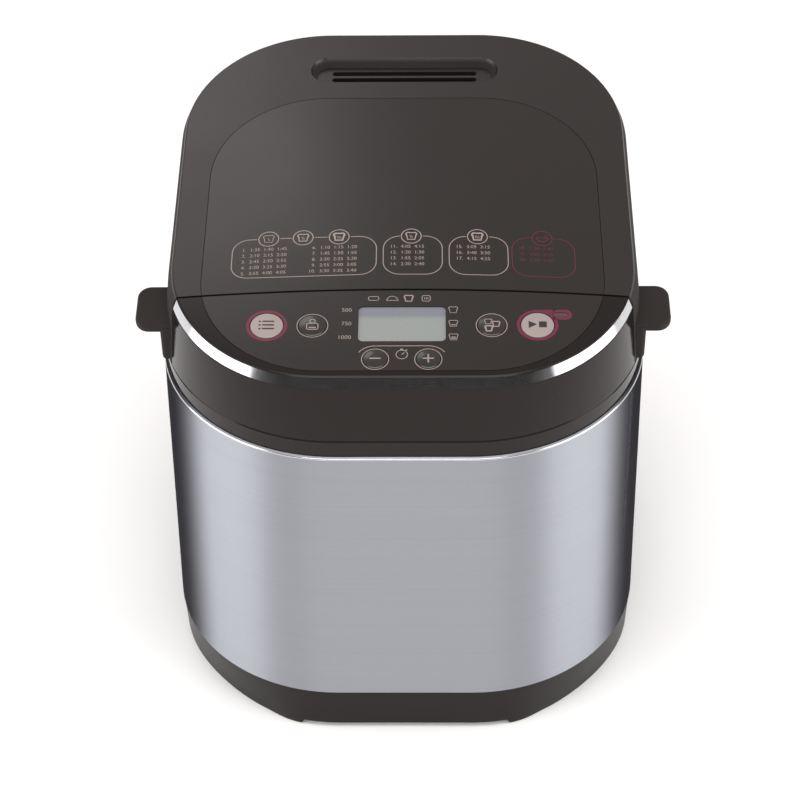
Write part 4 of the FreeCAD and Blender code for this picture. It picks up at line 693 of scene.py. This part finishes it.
class BREADMACHINE_OT_inside(Operator):
    """Finish what the open lid shows, and the drive and electrics under it"""

    bl_idname = "breadmachine.inside"
    bl_label = "Inside finishes"

    def execute(self, context):
        self.metals()
        self.coatings()
        self.plastics()
        return {"FINISHED"}

    def metals(self):
        """Sheet, turned and cast metal."""
        sheet = brushed("chamber_steel", (0.5, 0.5, 0.5), (0.25, 0.42), (60.0, 60.0, 900.0))
        dress(sheet, "baking_chamber", "pan_clips", "element_clips", "chassis_plate", "chamber_standoffs",
              "motor_bracket")
        liner = brushed("liner_aluminium", (0.68, 0.68, 0.69), (0.3, 0.42), (900.0, 20.0, 20.0))
        dress(liner, "lid_liner")
        turned = brushed("turned_steel", (0.58, 0.58, 0.59), (0.18, 0.3), (300.0, 300.0, 900.0), bump=0.03)
        dress(turned, "pan_handle", "pan_shaft", "pan_washer", "hinge_pins", "lid_screws", "chamber_screws",
              "floor_screws", "motor_screws", "chassis_screws", "temperature_probe", "drive_shaft",
              "pulley_nut", "motor_shaft")
        sheath = plastic("element_sheath", (0.16, 0.15, 0.15), (0.38, 0.5), 1200.0, 0.15, spread=0.2,
                         metallic=1.0)
        dress(sheath, "heating_element")
        cast = plastic("cast_aluminium", (0.52, 0.52, 0.53), (0.4, 0.52), 900.0, 0.2, spread=0.08,
                       metallic=1.0)
        dress(cast, "pan_foot", "pan_wing", "drive_dog", "drive_bearing", "motor_pulley")
        bronze = plastic("bush_bronze", (0.5, 0.3, 0.12), (0.3, 0.4), 900.0, 0.1, spread=0.1, metallic=1.0)
        dress(bronze, "pan_bush")

    def coatings(self):
        """Coated pan and paddle, lacquered motor."""
        coating = plastic("pan_coating", (0.035, 0.035, 0.037), (0.3, 0.42), 1500.0, 0.2, spread=0.15)
        dress(coating, "bread_pan", "kneading_paddle")
        lacquer = plastic("motor_lacquer", (0.1, 0.1, 0.105), (0.3, 0.42), 1100.0, 0.1, spread=0.1,
                          metallic=0.6)
        dress(lacquer, "drive_motor")

    def plastics(self):
        """Rubber, boards, moulded components and ceramic."""
        seal = plastic("seal_rubber", (0.09, 0.03, 0.025), (0.5, 0.6), 1500.0, 0.2)
        dress(seal, "pan_seal")
        belt = plastic("belt_rubber", (0.018, 0.018, 0.018), (0.6, 0.7), 1800.0, 0.3)
        dress(belt, "drive_belt")
        board = plastic("board_green", (0.02, 0.09, 0.035), (0.3, 0.4), 700.0, 0.1, spread=0.12)
        dress(board, "control_board", "power_board")
        component = plastic("component_black", (0.03, 0.03, 0.032), (0.35, 0.5), 900.0, 0.15)
        dress(component, "key_switches", "power_components", "motor_fan")
        ceramic = plastic("bush_ceramic", (0.7, 0.67, 0.6), (0.5, 0.65), 1200.0, 0.2)
        dress(ceramic, "element_bushes")
        nylon = plastic("pulley_nylon", (0.62, 0.6, 0.54), (0.4, 0.5), 900.0, 0.1)
        dress(nylon, "driven_pulley")


# Operators: base, trim and printing


def jacket_course(flare, end_x, steps=RUN_STEPS):
    """Course round the jacket from behind by the left, the front and the right: middles and turns.

    Along a straight run the middle moves from one corner's centre to the next; round a corner it rests and
    the turn of the outward normal grows by a quarter. The outline is the middle plus a radius along the
    normal.
    """
    x = JACKET_HALF[0] + flare - JACKET_RADIUS
    y = JACKET_HALF[1] + flare - JACKET_RADIUS
    stops = np.array([(-end_x, y), (-x, y), (-x, -y), (x, -y), (x, y), (end_x, y)])
    middles = []
    turns = []
    for run, (start, end) in enumerate(zip(stops, stops[1:])):
        turn = math.pi / 2 * (1 + run)
        middles.append(np.linspace(start, end, steps, endpoint=False))
        turns.append(np.full(steps, turn))
        if run < len(stops) - 2:
            middles.append(np.tile(end, (steps, 1)))
            turns.append(np.linspace(turn, turn + math.pi / 2, steps, endpoint=False))
    middles.append(stops[-1:])
    turns.append(turns[-1][-1:])
    return np.vstack(middles), np.concatenate(turns)


def round_jacket(middles, turns, inset, height):
    """Grid of points round the jacket: rows of insets and heights, columns along the course."""
    inset, height, turns = np.broadcast_arrays(inset, height, turns)
    reach = JACKET_RADIUS - inset
    x = middles[:, 0] + reach * np.cos(turns)
    y = middles[:, 1] + reach * np.sin(turns)
    return np.stack([x, y, height], axis=-1)


def smooth_step(value):
    """Smooth step of an array from 0 to 1."""
    part = np.clip(value, 0.0, 1.0)
    return part * part * (3 - 2 * part)


class BREADMACHINE_OT_base(Operator):
    """Skirt of the base with its corner feet"""

    bl_idname = "breadmachine.base"
    bl_label = "Base skirt"

    def execute(self, context):
        middles, turns = jacket_course(JACKET_FLARE, SKIRT_END_X)
        inset, height = self.section(middles, turns)
        points = round_jacket(middles, turns, inset, height)
        faces = grid_faces(*points.shape[:2])[:, ::-1]
        satin = bpy.data.materials["base_satin"]
        skirt = make_piece("base_skirt", points.reshape(-1, 3), faces, satin, "machine")
        return {"FINISHED"}

    def section(self, middles, turns):
        """Insets and heights, from the jacket down the wall, round the soft foot and up inside.

        The draft grows at the corners with the squared sine of twice the turn, from each foot's inner end on.
        The foot is low where the outline is far out both ways. The ends behind dive under the solid wall,
        clear of the cord's bush.
        """
        edge = np.abs(middles + JACKET_RADIUS * np.column_stack([np.cos(turns), np.sin(turns)]))
        past_end = edge[:, 0] - FOOT_X
        corner = np.sin(2 * turns) ** 2 * smooth_step(past_end / FOOT_FLANK)
        foot = smooth_step(past_end / FOOT_STEP) * smooth_step((edge[:, 1] - FOOT_Y) / FOOT_STEP)
        low = SKIRT_CLEAR + SKIRT_RAISED * (1 - foot)
        slope = (SKIRT_DRAFT + SKIRT_CORNER_DRAFT * corner) / SKIRT_TOP
        wall = SKIRT_TOP + (low + SKIRT_SOFT - SKIRT_TOP) * np.linspace(0, 1, WALL_ROWS)[:, None]
        wall_inset = SKIRT_INSET + slope * (SKIRT_TOP - wall)
        bend = np.linspace(0, math.pi / 2, EDGE_ROWS)[1:, None]
        bend_inset = wall_inset[-1] + SKIRT_SOFT * (1 - np.cos(bend))
        bend_height = low + SKIRT_SOFT * (1 - np.sin(bend))
        inner = np.tile(bend_inset[-1] + SKIRT_RIM, (2, 1))
        to_end = SKIRT_END_X + SKIRT_DIVE - np.abs(middles[:, 0])
        behind = (np.sin(turns) > STRAIGHT_REAR) * smooth_step(to_end / SKIRT_DIVE)
        inset = np.vstack([wall_inset, bend_inset, inner]) + SKIRT_RIM * behind
        height = np.vstack([wall, bend_height, low, np.full(len(turns), SKIRT_INSIDE)])
        return inset, height


class BREADMACHINE_OT_rim(Operator):
    """Polished edge where the jacket rolls in under the head"""

    bl_idname = "breadmachine.rim"
    bl_label = "Jacket rim"

    def execute(self, context):
        middles, turns = jacket_course(0.0, JACKET_SEAM_HALF)
        bend = np.linspace(RIM_BEND, 0, RIM_ROWS)[:, None]
        inset = JACKET_ROLL * (1 - np.cos(bend)) - sizes().trim_lift
        height = JACKET_TOP - JACKET_ROLL * (1 - np.sin(bend))
        points = round_jacket(middles, turns, inset, height)
        faces = grid_faces(*points.shape[:2])[:, ::-1]
        polished = bpy.data.materials["bevel_polished"]
        rim = make_piece("jacket_rim", points.reshape(-1, 3), faces, polished, "machine")
        return {"FINISHED"}


def head_line(turn, inset, drop):
    """Front of the head's outline, drawn in by an inset, on a plane that lies under the top by a drop.

    The outline lies in the slope: quarter circles of the corner radius, at turns from the front, stand
    either side of a straight front. The drop is upright, so it moves the plane down and a little forward.
    """
    radius = HEAD_RADIUS - inset
    half_x = HEAD_HALF[0] - HEAD_RADIUS
    half_v = (HEAD_HALF[1] - inset) / math.cos(SLOPE) - radius
    x = np.sign(turn) * half_x + radius * np.sin(turn)
    v = -half_v - radius * np.cos(turn) - drop * math.sin(SLOPE)
    return on_slope(x, v, -drop * math.cos(SLOPE))


def trim_end():
    """Turn at which the trim stops: where the head's corner meets the bowed parting, less a small gap."""
    half_y = HEAD_HALF[1] - HEAD_RADIUS
    bow = (HEAD_HALF[0] - TRIM_SHORT) ** 2 / (2 * PARTING_RADIUS)
    return math.acos((bow + TRIM_GAP - PARTING_Y - half_y) / HEAD_RADIUS)


class BREADMACHINE_OT_trim(Operator):
    """Bright trim on the control housing's bevel"""

    bl_idname = "breadmachine.trim"
    bl_label = "Bevel trim"

    def execute(self, context):
        limit = trim_end()
        left = np.linspace(-limit, -NO_TURN, TRIM_STEPS)
        turn = np.concatenate([left, -left[::-1]])
        across = np.linspace(*TRIM_SHARE, TRIM_ROWS)[:, None]
        lean = math.atan2(BEVEL_RUN, BEVEL_DROP)
        lift = sizes().trim_lift
        inset = BEVEL_RUN * across - lift * math.cos(lean)
        drop = BEVEL_DROP * (1 - across) - lift * math.sin(lean)
        points = head_line(turn[None, :], inset, drop)
        faces = grid_faces(*points.shape[:2])
        chrome = brushed("bevel_polished", (0.6, 0.61, 0.63), (0.11, 0.15), (400.0, 400.0, 40.0), bump=0.002,
                         spread=0.04)
        trim = make_piece("bevel_trim", points.reshape(-1, 3), faces, chrome, "machine")
        return {"FINISHED"}


def ink_finish(name, colour):
    """Screen-printed ink: thin, a little uneven, under the sheet's gloss."""
    return plastic(name, colour, (0.28, 0.38), 3000.0, 0.03, spread=0.08)


class BREADMACHINE_OT_panel_print(Operator):
    """Rings, marks and figures on the control panel"""

    bl_idname = "breadmachine.panel_print"
    bl_label = "Panel printing"

    def execute(self, context):
        lift = sizes().print_lift
        width = sizes().line
        pale = Ink()
        magenta = Ink()
        for name, (x, v, radius) in KEY_PLACES.items():
            if name in MAIN_KEYS:
                magenta.ring(x, v, radius + MAIN_RING[0], radius + MAIN_RING[1])
            else:
                pale.ring(x, v, radius + RING_GAP, radius + RING_GAP + width)
        self.light_tail(magenta)
        self.display_marks(pale)
        self.timer_marks(pale, width)
        pale.piece("panel_print_pale", ink_finish("ink_pale", colours().ink_pale), "machine", lift)
        red = ink_finish("ink_magenta", colours().ink_magenta)
        magenta.piece("panel_print_magenta", red, "machine", lift)
        return {"FINISHED"}

    def light_tail(self, magenta):
        """Frame round the status light, drawn out from the start key's ring."""
        x, v = LIGHT_PLACE
        half = 0.0039
        slot = 0.0015
        slot_radius = 0.00149
        tail = 0.0033
        tail_radius = 0.0032
        tail_end = 0.0056
        overlap = 0.0001
        steps = 14
        inner = rounded_path(x - half, x + half, v - slot, v + slot, slot_radius)
        outer = rounded_path(x - half, x + tail_end, v - tail, v + tail, tail_radius)
        magenta.strip(inner, outer, True)
        key_x, key_v, radius = KEY_PLACES["start"]
        near = arc_path(key_x, key_v, radius + MAIN_RING[1] - overlap, 88, 22, steps)
        far = np.column_stack([np.full(steps, x - half + overlap), np.linspace(v + tail, v - tail, steps)])
        magenta.strip(far, near, False)

    def display_marks(self, pale):
        """Figures left of the display, slices right of it, fuller row by row, and breads above it."""
        x, v = DISPLAY_PLACE
        figures_x = x - 0.0248
        slice_x = x + 0.0252
        figure_size = 0.0034
        figure_drop = 0.0011
        fill_step = 0.0009
        above = 0.0052
        for row, words in enumerate(("500", "750", "1000")):
            middle = v + (1 - row) * ROW_STEP
            pale.text(words, figures_x, middle - figure_drop, figure_size, "RIGHT")
            pale.line(loaf_path(slice_x, middle, SLICE_SIZE), PICTURE_LINE, True)
            for fill in range(row):
                pale.bar(slice_x, middle + fill_step * (fill - 1), width=0.0022, height=0.0006)
        self.breads(pale, x, v + DISPLAY_HALF[1] + above)

    def breads(self, pale, x, v):
        """A flat loaf, a round loaf, a slice and a tin."""
        flat_x = x - 0.0142
        round_x = x - 0.0049
        slice_x = x + 0.0032
        tin_x = x + 0.0119
        slot_step = 0.0008
        pale.frame(flat_x, v, half_x=0.0026, half_v=0.0013, radius=0.0012, width=PICTURE_LINE)
        pale.line(arc_path(round_x, v - 0.0012, 0.0027, 0, 180), PICTURE_LINE)
        pale.bar(round_x, v - 0.0013, width=0.0062, height=PICTURE_LINE)
        pale.line(loaf_path(slice_x, v, SLICE_SIZE), BOLD_LINE, True)
        pale.frame(tin_x, v, half_x=0.002, half_v=0.0019, radius=0.0009, width=PICTURE_LINE)
        for step in (-1, 0, 1):
            pale.bar(tin_x + slot_step * step, v, width=0.0003, height=0.0016)

    def timer_marks(self, pale, width):
        """Arch over the timer keys, and a stop watch between them."""
        reach = KEY_PLACES["plus"][0]
        arch_v = TIMER_V - 0.0012
        arch_radius = 0.0098
        left = arc_path(-reach, arch_v, arch_radius, 145, 92, 12)
        right = arc_path(reach, arch_v, arch_radius, 88, 35, 12)
        pale.line(np.vstack([left, right]), width)
        watch_v = arch_v + 0.0042
        hand_turn = 0.8
        pale.ring(0.0, watch_v, inner=0.0026, outer=0.003)
        pale.bar(0.0, watch_v + 0.0034, width=0.0014, height=0.0008)
        pale.bar(0.0022, watch_v + 0.0028, width=0.0011, height=0.0005, turn=hand_turn)
        pale.bar(0.0006, watch_v + 0.0006, width=0.0019, height=0.0005, turn=hand_turn)


class BREADMACHINE_OT_key_print(Operator):
    """Signs on the six keys, which move with them"""

    bl_idname = "breadmachine.key_print"
    bl_label = "Key signs"

    def execute(self, context):
        dark = ink_finish("ink_dark", (0.02, 0.017, 0.018))
        pale = bpy.data.materials["ink_pale"]
        for name, (x, v, radius) in KEY_PLACES.items():
            ink = Ink()
            getattr(self, name)(ink, x, v)
            material = dark if name in MAIN_KEYS else pale
            ink.piece(name + "_sign", material, name + "_key", self.dome(x, v, radius))
        return {"FINISHED"}

    def dome(self, x, v, radius):
        """Height of a key's crown over the slope: it falls a quarter to half the radius, then the rest."""
        steps = np.array([0.0, 0.5 * radius, radius - KEY_EDGE])
        heights = np.array([KEY_PROUD, KEY_PROUD - 0.25 * KEY_CROWN, KEY_PROUD - KEY_CROWN])
        lift = sizes().print_lift
        return lambda px, pv: np.interp(np.hypot(px - x, pv - v), steps, heights) + lift

    def menu(self, ink, x, v):
        """Three short lines with dots, as on a list."""
        row_step = 0.0024
        thick = 0.0009
        for row in (-1, 0, 1):
            ink.bar(x + 0.0008, v + row_step * row, width=0.0058, height=thick)
            ink.bar(x - 0.0034, v + row_step * row, width=0.0011, height=thick)

    def start(self, ink, x, v):
        """A start triangle, whose tip is cut very small, beside a stop square."""
        back = x - 0.0044
        front = x - 0.0006
        half = 0.0024
        tip = 0.00015
        side = 0.0038
        ink.patch([[back, v - half], [front, v - tip], [front, v + tip], [back, v + half]])
        ink.bar(x + 0.0026, v, width=side, height=side)

    def weight(self, ink, x, v):
        """A kitchen weight: a soft block under a knob."""
        ink.frame(x, v - 0.001, half_x=0.0028, half_v=0.002, radius=0.001, width=0.0005)
        ink.ring(x, v + 0.0024, inner=0.0011, outer=0.0016, steps=32)
        ink.bar(x, v - 0.0018, width=0.0036, height=0.0008)

    def crust(self, ink, x, v):
        """Three slices, from pale to dark."""
        slice_size = 0.0035
        width = 0.00045
        for dx, dv in ((-0.0017, 0.0019), (0.0022, 0.0003), (-0.0014, -0.0026)):
            ink.line(loaf_path(x + dx, v + dv, slice_size), width, True)
            width += 0.0002

    def minus(self, ink, x, v):
        """A minus sign."""
        ink.bar(x, v, width=SIGN_LENGTH, height=SIGN_WIDTH)

    def plus(self, ink, x, v):
        """A plus sign: a minus sign with an arm above and one below."""
        self.minus(ink, x, v)
        for side in (1, -1):
            ink.bar(x, v + side * (SIGN_WIDTH + SIGN_ARM) / 2, width=SIGN_WIDTH, height=SIGN_ARM)


class BREADMACHINE_OT_lid_print(Operator):
    """Programme boxes with plain numbers and times on the lid"""

    bl_idname = "breadmachine.lid_print"
    bl_label = "Lid printing"

    def execute(self, context):
        pale = Ink()
        magenta = Ink()
        number = 1
        for place, ((x0, x1), badges, columns) in enumerate(zip(BOXES, BOX_BADGES, BOX_ROWS)):
            ink = magenta if place == len(BOXES) - 1 else pale
            self.box(ink, x0, x1, badges)
            for column, rows in enumerate(columns):
                self.programmes(ink, x0 + COLUMN_INSET + COLUMN_STEP * column, number, rows)
                number += rows
            for badge, x in enumerate(badges):
                self.badge(ink, x, place + badge)
        lift = sizes().print_lift
        pale.piece("lid_print_pale", bpy.data.materials["ink_pale"], "lid", lift, True)
        faded = np.array(colours().ink_magenta) * THIN_INK
        magenta.piece("lid_print_magenta", ink_finish("ink_magenta_thin", faded), "lid", lift, True)
        return {"FINISHED"}

    def box(self, ink, x0, x1, badges):
        """Rounded frame whose top side is broken by the badges."""
        width = sizes().line
        turns = rounded_path(x0, x1, BOX_BOTTOM, BOX_TOP, BOX_RADIUS, steps=14)
        half = len(turns) // 2
        ink.line(np.vstack([turns[half:], turns[:half]]), width)
        stops = [x0 + BOX_RADIUS]
        for x in badges:
            stops += [x - BADGE_RADIUS - BADGE_GAP, x + BADGE_RADIUS + BADGE_GAP]
        stops.append(x1 - BOX_RADIUS)
        for start, end in zip(stops[::2], stops[1::2]):
            if end - start > SHORTEST_LINE:
                along = np.linspace(start, end, num=6)
                ink.line(np.column_stack([along, np.full_like(along, BOX_TOP)]), width)

    def programmes(self, ink, x, first, rows):
        """Numbers with two or three times each, in hours and minutes, one line per programme."""
        for row in range(rows):
            v = BOX_TOP - FIRST_LINE - LINE_STEP * row
            number = first + row
            shortest = LEAST_TIME + (number * TIME_STEP) % TIME_SPAN
            longer = THREE_TIMES if number <= LAST_WITH_THREE else TWO_TIMES
            times = ["%d:%02d" % divmod(shortest + extra, 60) for extra in longer]
            ink.text("%d." % number, x + NUMBER_END, v, FIGURE_SIZE, "RIGHT")
            ink.text("  ".join(times), x + TIMES_START, v, FIGURE_SIZE)

    def badge(self, ink, x, kind):
        """Round badge with a plain picture: slices with one to three strokes, or else a bowl and spoon."""
        v = BOX_TOP
        ink.ring(x, v, BADGE_RADIUS - BADGE_LINE, BADGE_RADIUS)
        if kind < 3:
            stroke_step = 0.0008
            thicker = 0.0003 * kind
            ink.line(loaf_path(x, v, size=0.0052), PICTURE_LINE + thicker, True)
            for stroke in range(kind + 1):
                stroke_x = x + stroke_step * (stroke - kind / 2)
                ink.bar(stroke_x, v - 0.0003, width=0.0003, height=0.002, turn=0.4)
        else:
            ink.line(arc_path(x, v + 0.0004, 0.0027, 180, 360), BADGE_LINE)
            ink.bar(x, v + 0.0005, width=0.0062, height=BADGE_LINE)
            ink.bar(x + 0.0016, v + 0.0018, width=0.0003, height=0.0026, turn=-0.5)


# Stage


def add_light(name, place, size, power, colour=COOL_WHITE, target=LIGHT_TARGET):
    """Rectangular soft light aimed at a point."""
    lamp = bpy.data.lights.new(name, "AREA")
    lamp.shape = "RECTANGLE"
    lamp.size, lamp.size_y = size
    lamp.energy = power
    lamp.color = colour
    holder = new_object(name, lamp)
    holder.location = place
    holder.rotation_euler = (Vector(target) - Vector(place)).to_track_quat("-Z", "Y").to_euler()


class BREADMACHINE_OT_stage(Operator):
    """Pale floor, soft lights and the camera"""

    bl_idname = "breadmachine.stage"
    bl_label = "Stage"

    def execute(self, context):
        context.scene.view_settings.view_transform = "Standard"
        self.floor()
        self.lights()
        self.camera(context.scene)
        return {"FINISHED"}

    def floor(self):
        """Wide plain floor."""
        corners = [(FLOOR_HALF * x, FLOOR_HALF * y, 0) for x, y in ((-1, -1), (1, -1), (1, 1), (-1, 1))]
        mesh = bpy.data.meshes.new("floor")
        mesh.from_pydata(corners, [], [(0, 1, 2, 3)])
        mesh.materials.append(plastic("floor_pale", colours().floor, (0.75, 0.85), 40.0, 0.0, spread=0.005))
        ground = new_object("floor", mesh)

    def lights(self):
        """The sky, and soft panels: overhead, behind on the left, in front and at each side."""
        self.sky()
        add_light("overhead", (0.0, -0.4, 2.1), (1.7, 1.1), 21.0, (1.0, 0.98, 0.96))
        add_light("rear_left", (-0.5, 1.35, 1.85), (0.7, 0.6), 2.2, (0.93, 0.96, 1.0))
        add_light("front_panel", (0.0, -1.6, 1.15), (1.3, 0.5), 6.0)
        for name, side in (("left_panel", -1), ("right_panel", 1)):
            add_light(name, (side * 1.2, -0.5, 0.5), (1.2, 1.0), 10.0, target=(0, -0.1, 0.2))

    def sky(self):
        """World that grows stronger from the horizon up; the horizon is dark in front only."""
        world = bpy.data.worlds.new("studio")
        bpy.context.scene.world = world
        world.use_nodes = True
        tree = world.node_tree
        axes = axes_of(tree, tree.nodes.new("ShaderNodeTexCoord").outputs["Generated"])
        height = smooth_rise(tree, axes["Z"], *SKY_RISE)
        behind = smooth_rise(tree, axes["Y"], *SKY_TURN)
        horizon = reckon(tree, "MULTIPLY_ADD", behind, SKY_HORIZON - SKY_FRONT, SKY_FRONT)
        above = reckon(tree, "SUBTRACT", SKY_ABOVE, horizon)
        strength = reckon(tree, "MULTIPLY_ADD", height, above, horizon)
        feed(tree, tree.nodes["Background"], Color=SKY_TINT, Strength=strength)

    def camera(self, scene):
        """Camera at the photograph's place, with its small roll."""
        forward = Vector(CAMERA_FORWARD).normalized()
        right = forward.cross(Vector((0, 0, 1))).normalized()
        up = right.cross(forward)
        cosine = math.cos(CAMERA_ROLL)
        sine = math.sin(CAMERA_ROLL)
        level = Matrix((right * cosine + up * sine, up * cosine - right * sine, -forward)).transposed()
        lens = bpy.data.cameras.new("photo_camera")
        lens.lens = sizes().lens
        lens.sensor_width = SENSOR_WIDTH
        holder = new_object("photo_camera", lens)
        holder.matrix_world = Matrix.Translation(CAMERA_PLACE) @ level.to_4x4()
        scene.camera = holder


class BREADMACHINE_PT_panel(Panel):
    """Sidebar panel that lists the steps"""

    bl_label = "Bread machine"
    bl_idname = "BREADMACHINE_PT_panel"
    bl_space_type = "VIEW_3D"
    bl_region_type = "UI"
    bl_category = "Bread machine"

    def draw(self, context):
        for group in (context.scene.bread_machine_sizes, context.scene.bread_machine_colours):
            for label in group.__annotations__:
                self.layout.prop(group, label)
        for step in STEPS:
            self.layout.operator(step.bl_idname)


STEPS = (
    BREADMACHINE_OT_casing, BREADMACHINE_OT_keys, BREADMACHINE_OT_inside, BREADMACHINE_OT_base,
    BREADMACHINE_OT_trim, BREADMACHINE_OT_rim,
    BREADMACHINE_OT_panel_print, BREADMACHINE_OT_key_print, BREADMACHINE_OT_lid_print, BREADMACHINE_OT_stage,
)
CLASSES = (BreadMachineSizes, BreadMachineColours, BREADMACHINE_PT_panel) + STEPS


def register():
    """Register the classes and hang the values on the scene."""
    for item in CLASSES:
        bpy.utils.register_class(item)
    bpy.types.Scene.bread_machine_sizes = PointerProperty(type=BreadMachineSizes)
    bpy.types.Scene.bread_machine_colours = PointerProperty(type=BreadMachineColours)


def unregister():
    """Take everything off again."""
    del bpy.types.Scene.bread_machine_colours
    del bpy.types.Scene.bread_machine_sizes
    for item in reversed(CLASSES):
        bpy.utils.unregister_class(item)


def main():
    """Dress the machine."""
    register()
    bpy.ops.breadmachine.casing()
    bpy.ops.breadmachine.keys()
    bpy.ops.breadmachine.inside()
    bpy.ops.breadmachine.base()
    bpy.ops.breadmachine.trim()
    bpy.ops.breadmachine.rim()
    bpy.ops.breadmachine.panel_print()
    bpy.ops.breadmachine.key_print()
    bpy.ops.breadmachine.lid_print()
    bpy.ops.breadmachine.stage()


if __name__ == "__main__":
    main()
